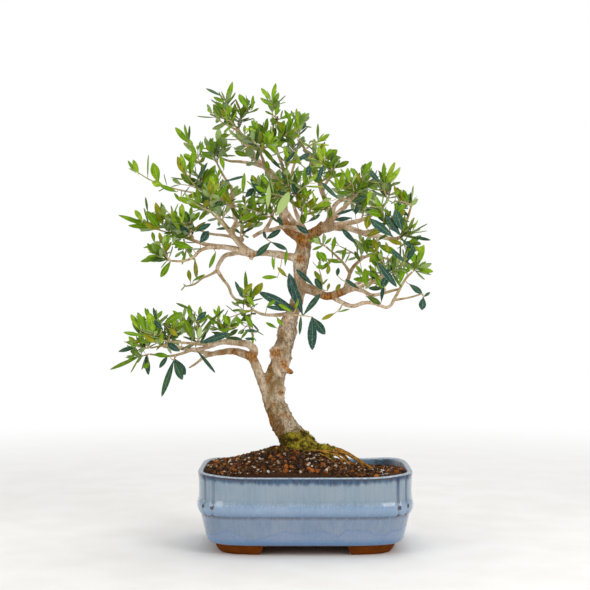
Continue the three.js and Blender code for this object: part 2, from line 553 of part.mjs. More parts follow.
// The hole that the trunk and roots stand in: the same tubes, a gap wider and a gap longer.
function buildWoodHole() {
  return join([trunk, ...roots].map(({ points, radii, sides }) => {
    const longer = points.map((spot) => spot.clone());
    const stretch = (end, next) => longer[end].addScaledVector(
      points[end].clone().sub(points[next]).normalize(), GAP);
    stretch(0, 1);
    stretch(points.length - 1, points.length - 2);
    return tube(longer, radii.map((radius) => radius + GAP / Math.cos(Math.PI / sides)), sides);
  }));
}

// ---------------------------------------------------------------- how a spray grows

const UP = point(0, 0, 1);

// A stem is a curve with one bend: a start, a point that it bends towards, and a tip.
const stemPoint = ([start, bend, tip], t) => start.clone().multiplyScalar((1 - t) * (1 - t))
  .addScaledVector(bend, 2 * t * (1 - t)).addScaledVector(tip, t * t);

const stemDirection = ([start, bend, tip], t) => bend.clone().sub(start).multiplyScalar(1 - t)
  .addScaledVector(tip.clone().sub(bend), t).normalize();

// Where a spray leaves its limb: just off the bark, or just past the limb's end.
function attach(limb, along, tip) {
  const last = limb.points.length - 1;
  const step = Math.min(Math.floor(along * last), last - 1);
  const part = along * last - step;
  const spot = limb.points[step].clone().lerp(limb.points[step + 1], part);
  const tangent = direct(limb.points[step], limb.points[step + 1]);
  const clearance = GAP + STEM_START_RADIUS;
  if (along === 1) return { start: spot.addScaledVector(tangent, clearance), tangent };
  const radius = between(limb.radii[step], limb.radii[step + 1], part);
  const outward = tip.clone().sub(spot);
  outward.addScaledVector(tangent, -outward.dot(tangent)).normalize();
  return { start: spot.addScaledVector(outward, radius + clearance), tangent };
}

// A direction that leans from a stem's own by the spread, turned round the stem by the turn.
function leaning(along, spread, turn) {
  const side = along.clone().cross(UP).normalize();
  const over = side.clone().cross(along);
  return along.clone().multiplyScalar(Math.cos(spread))
    .addScaledVector(side, Math.cos(turn) * Math.sin(spread))
    .addScaledVector(over, Math.sin(turn) * Math.sin(spread));
}

// The pairs are counted from the tip by their rank, and this is how far along the stem a rank sits.
const rankPlace = (rank, pairs) => (pairs - 0.4 - rank) / (pairs - 0.4);

// Opposite pairs of leaves along a stem, each pair turned a quarter from the last, closing up at the tip.
// A blade's upper face looks along the stem and up, then rolls a little.
function growLeaves(stem, pairs, longest, firstTurn, draw) {
  const leaves = [];
  for (let rank = pairs - 1; rank >= 0; rank--) {
    const t = rankPlace(rank, pairs);
    const along = stemDirection(stem, t);
    for (const side of [0, 1]) {
      const turn = firstTurn + rank * (Math.PI / 2) + side * Math.PI + between(-0.3, 0.3, draw());
      const spread = between(1.1, 0.5, t * t) + between(-0.14, 0.14, draw());
      const direction = leaning(along, spread, turn).addScaledVector(UP, 0.16).normalize();
      const face = along.clone().addScaledVector(UP, 0.2);
      face.addScaledVector(direction, -face.dot(direction)).normalize();
      face.applyAxisAngle(direction, between(-0.35, 0.35, draw()));
      const swell = 0.74 + 0.36 * Math.sin(Math.PI * t * 0.9);
      const length = longest * swell * between(0.82, 1.08, draw()) * (rank ? 1 : 0.8);
      const width = length * between(0.27, 0.35, draw());
      const curl = between(-0.06, 0.16, draw());
      leaves.push({ base: stemPoint(stem, t), t, direction, face, length, width, curl, rank });
    }
  }
  return leaves;
}

// One stem with its leaves, and the side shoots that rise from two of its pairs.
function growStem(start, tangent, [tipPlace, pairs, longest], seed) {
  const draw = dice(seed);
  const tip = seen(tipPlace);
  const reach = tip.distanceTo(start);
  const bend = start.clone().lerp(tip, 0.5).addScaledVector(tangent, 0.15 * reach)
    .addScaledVector(UP, -0.1 * reach);
  const stem = [start, bend, tip];
  const firstTurn = Math.PI * draw();
  const leaves = growLeaves(stem, pairs, longest, firstTurn, draw);
  const shoots = SHOOT_RANKS.filter((rank) => rank < pairs).map((rank, i) => {
    const t = rankPlace(rank, pairs);
    const turn = firstTurn + (rank + 1) * (Math.PI / 2) + i * Math.PI + between(-0.3, 0.3, draw());
    const direction = leaning(stemDirection(stem, t), 0.8, turn).addScaledVector(UP, 0.2).normalize();
    const from = stemPoint(stem, t);
    const to = from.clone().addScaledVector(direction, reach * between(0.32, 0.44, draw()));
    const shootStem = [from, from.clone().lerp(to, 0.5), to];
    const shootTurn = Math.PI * draw();
    const shootLeaves = growLeaves(shootStem, SHOOT_PAIRS, longest * 0.9, shootTurn, draw);
    return { t, rank, stem: shootStem, leaves: shootLeaves };
  });
  return { stem, leaves, shoots };
}

function singleLeaf(stem, t, tipPlace, width) {
  const base = stemPoint(stem, t);
  const tip = seen(tipPlace);
  const direction = direct(base, tip);
  const face = point(0.25, -1, 0.35);
  face.addScaledVector(direction, -face.dot(direction)).normalize();
  return { base, t, direction, face, length: tip.distanceTo(base), width, curl: 0.08, rank: 0 };
}

// A place down the middle of a blade.
function bladePoint({ base, direction, face, length, curl }, along) {
  return base.clone().addScaledVector(direction, length * along)
    .addScaledVector(face, -curl * length * along * along);
}

// A section of a blade: the low point of its back, then its two edges.
function bladeSection(leaf, [along, widthPart]) {
  const across = leaf.face.clone().cross(leaf.direction);
  const middle = bladePoint(leaf, along);
  const half = (leaf.width * widthPart) / 2;
  return [
    middle.clone().addScaledVector(leaf.face, -LEAF_THICKNESS),
    middle.clone().addScaledVector(across, half),
    middle.clone().addScaledVector(across, -half),
  ];
}

// ---------------------------------------------------------------- which leaves have room

// Balls stand in for all that is chosen so far, and a blade is only added where it stays clear of them. Woody
// balls, which are the limbs and stems, and the roots of blades may meet others of their own spray.
const balls = [];

function ballsAlong(points, radii, spray) {
  const result = [];
  for (let i = 0; i + 1 < points.length; i++) {
    const steps = Math.max(1, Math.ceil(points[i].distanceTo(points[i + 1]) / 2));
    for (let step = 0; step <= steps; step++) {
      const place = points[i].clone().lerp(points[i + 1], step / steps);
      result.push({ place, radius: between(radii[i], radii[i + 1], step / steps) + GAP, spray, woody: true });
    }
  }
  return result;
}

const stemBalls = (stem, radius, spray) => ballsAlong(
  [0, 1 / 3, 2 / 3, 1].map((t) => stemPoint(stem, t)), [STEM_START_RADIUS, radius, radius, radius], spray);

function bladeBalls(leaf, spray) {
  const across = leaf.face.clone().cross(leaf.direction);
  const result = [];
  for (const along of [0.1, 0.25, 0.4, 0.55, 0.7, 0.85, 1]) {
    const half = along > 0.9 || along < 0.2 ? 0 : (leaf.width / 2) * 0.8;
    for (const side of half ? [-half, 0, half] : [0]) {
      const place = bladePoint(leaf, along).addScaledVector(across, side);
      result.push({ place, radius: LEAF_CLEARANCE, spray, root: along < 0.3 });
    }
  }
  return result;
}

function mayTouch(one, other) {
  if (one.spray !== other.spray) return false;
  return (one.woody && other.woody) || one.root || other.root;
}

function isClear(candidates) {
  return candidates.every((ball) => balls.every((other) => {
    if (mayTouch(ball, other)) return true;
    const spare = ball.spray === other.spray && other.woody ? OWN_STEM_EASE : 0;
    return ball.place.distanceTo(other.place) > ball.radius + other.radius - spare;
  }));
}

// Takes what is clear, in the order given.
function take(candidates) {
  if (!isClear(candidates)) return false;
  balls.push(...candidates);
  return true;
}

// ---------------------------------------------------------------- spray solids

const SIDE_ORDERS = [[0, 1, 2], [0, 2, 1], [1, 0, 2], [1, 2, 0], [2, 0, 1], [2, 1, 0]];

// Turns the three sides of a stem so that each part that rises from a joint has one that looks its way.
function facesTurned(across, along, ways) {
  let best = { score: -Infinity };
  for (let turn = 0; turn < 2 * Math.PI / 3; turn += Math.PI / 30) {
    const turned = across.clone().applyAxisAngle(along, turn);
    const looks = [0, 1, 2].map((side) => (
      turned.clone().applyAxisAngle(along, Math.PI / 3 + side * 2 * Math.PI / 3)));
    for (const sides of SIDE_ORDERS) {
      const fits = ways.map((way, i) => looks[sides[i]].dot(way.clone().projectOnPlane(along).normalize()));
      const score = Math.min(1, ...fits);
      if (score > best.score) best = { score, across: turned, sides: sides.slice(0, ways.length) };
    }
  }
  return best;
}

// A skin that grows outwards in rings of three points. A side can be left open, so that a leaf or a side
// shoot goes on from it.
class Skin {
  vertices = [];

  faces = [];

  ring(points) {
    this.vertices.push(...points);
    const count = this.vertices.length;
    return [count - 3, count - 2, count - 1];
  }

  // Joins two rings, and gives back the corners of each side.
  cover(lower, upper, openSides = []) {
    return lower.map((corner, side) => {
      const next = (side + 1) % 3;
      const corners = [corner, lower[next], upper[next], upper[side]];
      if (!openSides.includes(side)) {
        this.faces.push(corner, lower[next], upper[next], corner, upper[next], upper[side]);
      }
      return corners;
    });
  }

  // The last ring's corners in the order that lies nearest to the points, so that the skin doesn't twist.
  facing(ring, points) {
    const miss = (shift) => points.reduce((sum, spot, i) => (
      sum + spot.distanceTo(this.vertices[ring[(i + shift) % 3]])), 0);
    const best = [0, 1, 2].reduce((one, other) => (miss(other) < miss(one) ? other : one));
    return ring.map((_, i) => ring[(i + best) % 3]);
  }

  // Goes on from a side's four corners to a ring whose first point is the lowest.
  leave([a, b, c, d], [low, right, left]) {
    this.faces.push(a, b, low, b, right, low, b, c, right);
    this.faces.push(c, d, left, c, left, right, d, a, left, a, low, left);
  }

  blade(opening, leaf, profile) {
    const [first, ...others] = profile.map((section) => this.ring(bladeSection(leaf, section)));
    this.leave(opening, first);
    let lower = first;
    for (const upper of others) {
      this.cover(lower, upper);
      lower = upper;
    }
    const tip = this.vertices.push(bladePoint(leaf, 1)) - 1;
    lower.forEach((corner, side) => this.faces.push(corner, lower[(side + 1) % 3], tip));
  }

  // A stem's joints are the places where leaves or shoots rise from it: [{ t, parts }].
  stem(start, stem, radius, joints) {
    const reach = stem[0].distanceTo(stem[2]);
    let across = point(0, -1, 0);
    let ring = start;
    for (const { t, parts } of joints) {
      const ways = parts.map((part) => part.direction ?? stemDirection(part.stem, 0));
      across = carried(across, stemDirection(stem, t));
      const turned = facesTurned(across, stemDirection(stem, t), ways);
      const places = [Math.max(t - JOINT_LENGTH / reach, t / 2), t];
      const [below, above] = places.map((place) => {
        const along = stemDirection(stem, place);
        const thin = between(radius, radius * STEM_TAPER, place);
        return ringAround(stemPoint(stem, place), along, carried(turned.across, along), thin, 3);
      });
      const belowRing = this.ring(below);
      if (ring.length === 3) {
        this.cover(this.facing(ring, below), belowRing);
      } else {
        const foot = this.vertices[ring[0]].clone().lerp(this.vertices[ring[1]], 0.5);
        const first = [0, 1, 2].sort((i, j) => below[i].distanceTo(foot) - below[j].distanceTo(foot))[0];
        this.leave(ring, [0, 1, 2].map((i) => belowRing[(first + i) % 3]));
      }
      const aboveRing = this.ring(above);
      const sides = this.cover(belowRing, aboveRing, turned.sides);
      parts.forEach((part, i) => {
        const opening = sides[turned.sides[i]];
        if (part.stem) this.stem(opening, part.stem, TWIG_RADIUS, part.joints);
        else this.blade(opening, part, radius < STEM_RADIUS || part.rank ? SMALL_BLADE : BLADE);
      });
      ring = aboveRing;
    }
    this.faces.push(...ring);
  }

  // Whether an edge of any face goes through another face.
  crosses() {
    const faces = [];
    for (let i = 0; i < this.faces.length; i += 3) {
      const corners = this.faces.slice(i, i + 3);
      const places = corners.map((corner) => this.vertices[corner]);
      faces.push({ corners, places, box: new THREE.Box3().setFromPoints(places) });
    }
    const ray = new THREE.Ray();
    const hit = point(0, 0, 0);
    const pierces = (one, other) => one.corners.some((corner, i) => {
      const next = (i + 1) % 3;
      if (other.corners.includes(corner) || other.corners.includes(one.corners[next])) return false;
      const [from, to] = [one.places[i], one.places[next]];
      ray.set(from, direct(from, to));
      return ray.intersectTriangle(...other.places, false, hit) !== null
        && hit.distanceTo(from) < to.distanceTo(from);
    });
    return faces.some((one, i) => faces.slice(i + 1).some((other) => (
      one.box.intersectsBox(other.box) && (pierces(one, other) || pierces(other, one)))));
  }

  geometry() {
    const geometry = new THREE.BufferGeometry();
    geometry.setFromPoints(this.vertices);
    geometry.setIndex(this.faces);
    return geometry;
  }
}

// A blade on its own, its root sunk in the stem.
const singleBlade = (leaf) => loft([
  ringAround(leaf.base, leaf.direction, carried(leaf.face, leaf.direction).negate(), STEM_START_RADIUS, 3),
  ...BLADE.map((section) => bladeSection(leaf, section)),
  [bladePoint(leaf, 1)],
]);

function stemSkin({ stem, leaves, shoots }) {
  const skin = new Skin();
  const along = stemDirection(stem, 0);
  const start = skin.ring(
    ringAround(stem[0], along, carried(point(0, -1, 0), along), STEM_START_RADIUS, 3));
  skin.faces.push(...[...start].reverse());
  const grown = shoots.map((shoot) => ({ ...shoot, joints: jointsOf(shoot.leaves, []) }));
  skin.stem(start, stem, STEM_RADIUS, jointsOf(leaves, grown));
  return skin;
}

// The places on a stem that carry something, from its start to its tip.
function jointsOf(leaves, shoots) {
  const places = [...new Set([1, ...leaves.map(({ t }) => t), ...shoots.map(({ t }) => t)])];
  return places.sort((a, b) => a - b).map((t) => ({
    t,
    parts: [...leaves, ...shoots].filter((part) => part.t === t).slice(0, 3),
  }));
}

// Every stem has its single leaves. It has its furthest pair, the pair two below it, and a side shoot
// with that one's furthest pair, where they stay clear of all the rest and of the stem that they grow
// from.
function buildSprays() {
  limbs.forEach(({ points, radii }) => balls.push(...ballsAlong(points, radii, 'wood')));
  const carriers = { ...branches, trunk };
  const stems = [];
  for (const [region, rows] of Object.entries(SPRAYS)) {
    rows.forEach(([carrier, along, ...data], row) => {
      const spray = `${region}_${row + 1}`;
      const { start, tangent } = attach(carriers[carrier], along, seen(data[0][0]));
      data.forEach((datum, which) => {
        const grown = growStem(start, tangent, datum, stems.length + 1);
        const singles = SINGLE_LEAVES.filter(([name, stem]) => name === spray && stem === which)
          .map(([, , t, tip, width]) => singleLeaf(grown.stem, t, tip, width));
        stems.push({ spray, stem: grown.stem, leaves: [], shoots: [], singles, grown });
        balls.push(...stemBalls(grown.stem, STEM_RADIUS, spray));
        singles.forEach((leaf) => balls.push(...bladeBalls(leaf, spray)));
      });
    });
  }
  const tryPart = (stem, parts, part, partBalls) => {
    if (!isClear(partBalls)) return;
    parts.push(part);
    if (stemSkin(stem).crosses()) parts.pop();
    else balls.push(...partBalls);
  };
  for (const stem of stems) {
    for (const shoot of stem.grown.shoots.slice(0, 1)) {
      const bare = { ...shoot, leaves: [], waiting: shoot.leaves.filter(({ rank }) => rank === 0) };
      tryPart(stem, stem.shoots, bare, stemBalls(shoot.stem, TWIG_RADIUS, stem.spray));
    }
  }
  // The outer leaves of every stem come before the inner ones of any.
  for (const wanted of KEPT_RANKS) {
    for (const stem of stems) {
      const tryLeaf = (parts, leaf) => tryPart(stem, parts, leaf, bladeBalls(leaf, stem.spray));
      stem.grown.leaves.filter(({ rank }) => rank === wanted).forEach((leaf) => tryLeaf(stem.leaves, leaf));
      if (wanted === 0) {
        stem.shoots.forEach((shoot) => shoot.waiting.forEach((leaf) => tryLeaf(shoot.leaves, leaf)));
      }
    }
  }
  const names = [...new Set(stems.map(({ spray }) => spray))];
  return names.map((name) => {
    const own = stems.filter(({ spray }) => spray === name);
    const blades = own.flatMap(({ singles }) => singles.map(singleBlade));
    return [`spray_${name}`, join([...own.map((stem) => stemSkin(stem).geometry()), ...blades])];
  });
}

// ---------------------------------------------------------------- materials and the finished group

// A three.js geometry with its doubled vertices merged.
function shared(geometry) {
  geometry.deleteAttribute('normal');
  geometry.deleteAttribute('uv');
  return mergeVertices(geometry);
}

const MATERIALS = {
  glaze: new THREE.MeshStandardMaterial({ color: 0x93a5b8, roughness: 0.15, metalness: 0 }),
  screen: new THREE.MeshStandardMaterial({ color: 0x1c1c1e, roughness: 0.5, metalness: 0 }),
  soil: new THREE.MeshStandardMaterial({ color: 0x4a2c1e, roughness: 0.95, metalness: 0 }),
  bark: new THREE.MeshStandardMaterial({ color: 0xa08d76, roughness: 0.85, metalness: 0 }),
  leaf: new THREE.MeshStandardMaterial({ color: 0x5f7d1e, roughness: 0.5, metalness: 0 }),
};

const bonsai = new THREE.Group();

function add(name, solid, material) {
  const mesh = new THREE.Mesh(toGeometry(solid), MATERIALS[material]);
  mesh.name = name;
  bonsai.add(mesh);
}

add('pot', buildPot(), 'glaze');
add('drain_screen_left', buildScreen(-1), 'screen');
add('drain_screen_right', buildScreen(1), 'screen');
add('soil', buildSoil(buildWoodHole()), 'soil');
add('wood', buildWood(), 'bark');
buildSprays().forEach(([name, solid]) => add(name, solid, 'leaf'));

export default bonsai;
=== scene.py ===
# %% [markdown]
# # An olive bonsai in its glazed pot
#
# The real object is a small pruned olive tree, about 46 cm tall, in a stoneware pot with a pale blue glaze.
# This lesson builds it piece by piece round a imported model, which already says where each piece sits and
# how large it is. Every length is a real size in millimetres, and the helper MM turns it into Blender's
# metres.

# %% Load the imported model
import json
import math

import bpy
import numpy as np
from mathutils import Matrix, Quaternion, Vector, kdtree, noise

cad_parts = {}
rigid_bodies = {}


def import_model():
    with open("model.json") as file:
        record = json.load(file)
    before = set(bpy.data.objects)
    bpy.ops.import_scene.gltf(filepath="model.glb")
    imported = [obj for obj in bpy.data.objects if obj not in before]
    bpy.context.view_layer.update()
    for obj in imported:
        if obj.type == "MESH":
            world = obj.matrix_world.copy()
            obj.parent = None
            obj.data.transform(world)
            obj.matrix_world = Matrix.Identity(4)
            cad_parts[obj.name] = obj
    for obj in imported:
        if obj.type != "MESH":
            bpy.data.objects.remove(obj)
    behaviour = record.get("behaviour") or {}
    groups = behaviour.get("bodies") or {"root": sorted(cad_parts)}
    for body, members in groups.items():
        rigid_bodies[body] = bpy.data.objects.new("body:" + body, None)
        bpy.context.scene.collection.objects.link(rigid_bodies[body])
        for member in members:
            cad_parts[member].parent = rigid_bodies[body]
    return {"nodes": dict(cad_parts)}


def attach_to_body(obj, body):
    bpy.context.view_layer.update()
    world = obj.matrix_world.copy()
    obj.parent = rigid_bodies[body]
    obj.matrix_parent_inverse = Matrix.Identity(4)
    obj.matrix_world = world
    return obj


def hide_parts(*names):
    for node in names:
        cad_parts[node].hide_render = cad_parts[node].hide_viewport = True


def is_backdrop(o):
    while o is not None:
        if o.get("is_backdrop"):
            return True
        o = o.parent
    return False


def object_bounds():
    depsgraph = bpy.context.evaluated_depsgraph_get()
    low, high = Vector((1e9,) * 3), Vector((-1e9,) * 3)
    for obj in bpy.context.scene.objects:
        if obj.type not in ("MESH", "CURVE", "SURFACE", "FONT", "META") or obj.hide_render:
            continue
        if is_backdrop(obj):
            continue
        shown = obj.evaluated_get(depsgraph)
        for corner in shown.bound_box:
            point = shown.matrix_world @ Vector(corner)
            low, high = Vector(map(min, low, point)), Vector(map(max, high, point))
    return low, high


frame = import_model()
cad_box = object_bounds()
MM, TO_MM = 0.001, 1000
print("nodes in the packed model:", len(frame["nodes"]))

# %% [markdown]
# ## Camera
#
# The object is seen level, from the front, a little to the left of the pot's middle, by a short telephoto
# lens from 1.3 m. A level camera keeps the pot's sides upright.

# %% Camera
EYE = Vector((23, -1320, 248))

bpy.ops.object.camera_add(location=EYE * MM, rotation=(math.radians(90), 0, 0))
camera = bpy.context.object
camera.name = "camera"
camera.data.sensor_width = 36
camera.data.lens = 80.4
camera.data.clip_end = 50
bpy.context.scene.camera = camera
print("camera at", tuple(camera.location), "lens", camera.data.lens)

# %% [markdown]
# ## Node helpers
#
# Every finish below is a recipe of nodes. These helpers add a node, set its sockets and link it in one
# line, so that a recipe reads as a list of steps.


# %% Helpers for node recipes
def step(tree, kind, settings=None, **sockets):
    """Adds a node. A socket's name has _ for a space, or is _3 for the fourth input."""
    made = tree.nodes.new(kind)
    for name, value in (settings or {}).items():
        setattr(made, name, value)
    for name, value in sockets.items():
        socket = made.inputs[int(name[1:]) if name[1:].isdigit() else name.replace("_", " ")]
        if isinstance(value, bpy.types.NodeSocket):
            tree.links.new(value, socket)
        else:
            socket.default_value = value
    return made


def calc(operation, first, second=0, third=0):
    """One step of arithmetic. The tree is that of the sockets it is given."""
    tree = next(value.id_data for value in (first, second, third) if isinstance(value, bpy.types.NodeSocket))
    return step(tree, "ShaderNodeMath", {"operation": operation}, _0=first, _1=second, _2=third).outputs[0]


def times(first, second):
    return calc("MULTIPLY", first, second)


def paint(colour):
    """Turns three parts, from 0 to 255, to a shader's linear values. A socket stays as it is."""
    if isinstance(colour, bpy.types.NodeSocket):
        return colour
    parts = np.array(colour) / 255
    return (*np.where(parts > 0.04045, ((parts + 0.055) / 1.055) ** 2.4, parts / 12.92), 1)


def mix(factor, first, second):
    """Mixes two colours."""
    settings = {"data_type": "RGBA", "blend_type": "MIX", "clamp_factor": True}
    node = step(factor.id_data, "ShaderNodeMix", settings, _0=factor, _6=paint(first), _7=paint(second))
    return node.outputs[2]


def coats(colour, *layers):
    """Lays coats over a colour, each a mask, its strength and its own colour."""
    for mask, strength, tint in layers:
        colour = mix(times(mask, strength), colour, tint)
    return colour


def fade(value, low, high, start=0, end=1):
    """Runs smoothly from start to end while the value goes from low to high."""
    settings = {"interpolation_type": "SMOOTHSTEP"}
    node = step(value.id_data, "ShaderNodeMapRange", settings, _0=value, _1=low, _2=high, _3=start, _4=end)
    return node.outputs[0]


def ramp(value, *stops):
    """A colour scale, each stop a position and a colour."""
    scale = step(value.id_data, "ShaderNodeValToRGB", None, _0=value)
    elements = scale.color_ramp.elements
    while len(elements) < len(stops):
        elements.new(0.5)
    for element, (position, colour) in zip(elements, stops):
        element.position = position
        element.color = paint(colour)
    return scale.outputs[0]


def read(tree, name):
    """A value that is stored on the piece's own mesh."""
    return step(tree, "ShaderNodeAttribute", {"attribute_name": name}).outputs["Fac"]


def place(tree, stretch=(1, 1, 1)):
    """The place on the object in metres, each axis stretched by a factor."""
    where = step(tree, "ShaderNodeTexCoord").outputs["Object"]
    return step(tree, "ShaderNodeMapping", None, Vector=where, Scale=stretch).outputs[0]


def new_finish(name, roughness, coat=0, coat_roughness=0.1, specular=0.5):
    """A material, its tree, its shader with the plain numbers set on the sockets, and the place."""
    material = bpy.data.materials.new(name)
    material.use_nodes = True
    shader = material.node_tree.nodes["Principled BSDF"]
    shader.inputs["Roughness"].default_value = roughness
    shader.inputs["Coat Weight"].default_value = coat
    shader.inputs["Coat Roughness"].default_value = coat_roughness
    shader.inputs["Specular IOR Level"].default_value = specular
    return material, material.node_tree, shader, place(material.node_tree)


def lay_on(shader, colour, height=None, depth=0, roughness=None):
    """Feeds the shader its colour, and a Bump node of so many millimetres where there is a height."""
    tree = shader.id_data
    tree.links.new(colour, shader.inputs["Base Color"])
    if height is not None:
        bump = step(tree, "ShaderNodeBump", None, Strength=1, Distance=depth * MM, Height=height)
        tree.links.new(bump.outputs[0], shader.inputs["Normal"])
    if roughness is not None:
        tree.links.new(roughness, shader.inputs["Roughness"])


def new_group(name, inputs, outputs):
    """A node group with named sockets. Its insides are built between the two nodes that this gives back."""
    tree = bpy.data.node_groups.new(name, "ShaderNodeTree")
    for label, kind, value in inputs:
        socket = tree.interface.new_socket(label, in_out="INPUT", socket_type=kind)
        if value is not None:
            socket.default_value = value
    for label, kind in outputs:
        tree.interface.new_socket(label, in_out="OUTPUT", socket_type=kind)
    return tree, tree.nodes.new("NodeGroupInput").outputs, tree.nodes.new("NodeGroupOutput").inputs


print("recipe helpers are ready")

# %% [markdown]
# ## Shared effects
#
# Mottling and freckles turn up all over this object: in the glaze, the fired clay, the soil, the bark and
# the leaves. Each is a node group, built once, that gives a value or a mask, and each finish places it with
# its own scale.

# %% Mottle and freckles
NUMBER = "NodeSocketFloat"
mottle, given, result = new_group(
    "mottle",
    [("Place", "NodeSocketVector", None), ("Size", NUMBER, 5), ("Detail", NUMBER, 3),
     ("Low", NUMBER, 0.35), ("High", NUMBER, 0.65)],
    [("Value", NUMBER)],
)
scale = calc("DIVIDE", TO_MM, given["Size"])
cloud = step(mottle, "ShaderNodeTexNoise", None, Vector=given["Place"], Scale=scale, Detail=given["Detail"])
spread = step(mottle, "ShaderNodeMapRange", {"interpolation_type": "SMOOTHSTEP"},
              _0=cloud.outputs[0], _1=given["Low"], _2=given["High"])
mottle.links.new(spread.outputs[0], result["Value"])

freckles, given, result = new_group(
    "freckles",
    [("Place", "NodeSocketVector", None), ("Spacing", NUMBER, 3), ("Radius", NUMBER, 0.25),
     ("Share", NUMBER, 0.5)],
    [("Mask", NUMBER)],
)
scale = calc("DIVIDE", TO_MM, given["Spacing"])
cells = step(freckles, "ShaderNodeTexVoronoi", None, Vector=given["Place"], Scale=scale)
soft = times(given["Radius"], 0.6)
dots = step(freckles, "ShaderNodeMapRange", {"interpolation_type": "SMOOTHSTEP"},
            _0=cells.outputs["Distance"], _1=soft, _2=given["Radius"], _3=1, _4=0)
draws = step(freckles, "ShaderNodeSeparateColor", None, Color=cells.outputs["Color"]).outputs[0]
mask = times(dots.outputs[0], calc("LESS_THAN", draws, given["Share"]))
freckles.links.new(mask, result["Mask"])


def placed(group, where, **sockets):
    """Places a group in the recipe that the place belongs to."""
    return step(where.id_data, "ShaderNodeGroup", {"node_tree": group}, Place=where, **sockets).outputs[0]


def mottled(where, size, detail=4, low=0.3, high=0.7):
    """Mottling with clouds of this size in millimetres."""
    return placed(mottle, where, Size=size, Detail=detail, Low=low, High=high)


def freckled(where, spacing, radius, share):
    """Freckles this far apart in millimetres. Radius and share go from 0 to 1."""
    return placed(freckles, where, Spacing=spacing, Radius=radius, Share=share)


print("shared effects:", [group.name for group in bpy.data.node_groups])

# %% [markdown]
# ## Modelling helpers
#
# Operators act on whatever is selected, so each step starts by selecting exactly one thing. Parts of a mesh
# are picked by where they are, which is what a hand with a mouse would do by eye.


# %% Helpers for modelling
def take(*pieces):
    """Selects these pieces and nothing else, the first one active."""
    if bpy.context.object and bpy.context.object.mode != "OBJECT":
        bpy.ops.object.mode_set(mode="OBJECT")
    bpy.ops.object.select_all(action="DESELECT")
    for piece in pieces:
        piece.select_set(True)
    bpy.context.view_layer.objects.active = pieces[0] if pieces else None


def start(name):
    """Names the primitive that was just added, and its mesh."""
    piece = bpy.context.object
    piece.name = piece.data.name = name
    return piece


def pick_faces(piece, test):
    """In edit mode, selects the faces whose middle, in millimetres, passes the test."""
    bpy.ops.mesh.select_mode(type="FACE")
    bpy.ops.mesh.select_all(action="DESELECT")
    bpy.ops.object.mode_set(mode="OBJECT")
    for face in piece.data.polygons:
        face.select = bool(test(face.center / MM))
    bpy.ops.object.mode_set(mode="EDIT")


def finish_with(piece, kind, **settings):
    """Adds a modifier and applies it at once."""
    take(piece)
    modifier = piece.modifiers.new(kind.lower(), kind)
    for name, value in settings.items():
        setattr(modifier, name, value)
    bpy.ops.object.modifier_apply(modifier=modifier.name)


def places_of(piece):
    """The piece's vertices in millimetres, one row each."""
    rows = np.empty(len(piece.data.vertices) * 3)
    piece.data.vertices.foreach_get("co", rows)
    return rows.reshape(-1, 3) / MM


def move_to(piece, rows):
    """Moves the piece's vertices to these places in millimetres."""
    piece.data.vertices.foreach_set("co", (rows * MM).ravel())
    piece.data.update()


def normals_of(piece):
    rows = np.empty(len(piece.data.vertices) * 3)
    piece.data.vertices.foreach_get("normal", rows)
    return rows.reshape(-1, 3)


def store(piece, name, values):
    """Keeps a value for every vertex, for the finishes to read."""
    layer = piece.data.attributes.new(name, "FLOAT", "POINT")
    layer.data.foreach_set("value", np.asarray(values, dtype=float))


def edit_all():
    """Goes into edit mode with everything selected."""
    bpy.ops.object.mode_set(mode="EDIT")
    bpy.ops.mesh.select_all(action="SELECT")


def edit_done():
    """Leaves edit mode."""
    bpy.ops.object.mode_set(mode="OBJECT")


def outward(piece):
    """Turns all faces outwards."""
    take(piece)
    edit_all()
    bpy.ops.mesh.normals_make_consistent(inside=False)
    edit_done()


def smooth(piece, degrees=180):
    take(piece)
    if degrees >= 180:
        bpy.ops.object.shade_smooth()
    else:
        bpy.ops.object.shade_smooth_by_angle(angle=math.radians(degrees))


def wear(piece, *materials):
    """Gives the piece its materials, in the order of its slots."""
    slots = [face.material_index for face in piece.data.polygons]
    piece.data.materials.clear()
    for material in materials:
        piece.data.materials.append(material)
    piece.data.polygons.foreach_set("material_index", slots)


def settle(piece, slot, *nodes):
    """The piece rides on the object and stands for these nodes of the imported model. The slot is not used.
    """
    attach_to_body(piece, "root")
    if nodes:
        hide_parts(*nodes)
    print(f"{piece.name}: {len(piece.data.polygons)} faces")


def ease(value, low, high):
    """Runs smoothly from 0 at low to 1 at high."""
    part = np.clip((value - low) / (high - low), 0, 1)
    return part * part * (3 - 2 * part)


def rough(rows, size, seed=0, octaves=3):
    """Noise from about -1 to 1 at each row, with lumps of this size in millimetres."""
    return np.array([noise.fractal(Vector(row) / size + Vector((seed, seed, seed)), 0.6, 2.1, octaves)
                     for row in rows])

# %% [markdown]
# ## The studio
#
# A pale floor that fades into the pale world at its far edge leaves no horizon behind the tree. Two large
# soft lights from the front corners give the glaze its broad highlights, and one overhead lights the crown.

# %% Floor, world and lights
FLOOR_RADIUS = 6
SKY_SEEN, SKY_LIGHT = 1, 0.5
take()
bpy.ops.mesh.primitive_circle_add(vertices=96, radius=FLOOR_RADIUS, fill_type="NGON")
floor = start("floor")
floor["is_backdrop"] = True
finish, tree, shader, here = new_finish("floor_paper", 0.85, specular=0)
grain = mottled(here, 60, 2)
away = step(tree, "ShaderNodeVectorMath", {"operation": "LENGTH"}, _0=here).outputs["Value"]
glow = fade(away, 0.22, 1.3)
BLACK, SKY_WHITE = (0, 0, 0), (255, 255, 255)
paper = mix(grain, (243, 241, 238), (247, 246, 244))
lay_on(shader, mix(glow, paper, BLACK))
tree.links.new(mix(glow, BLACK, SKY_WHITE), shader.inputs["Emission Color"])
shader.inputs["Emission Strength"].default_value = 1
wear(floor, finish)

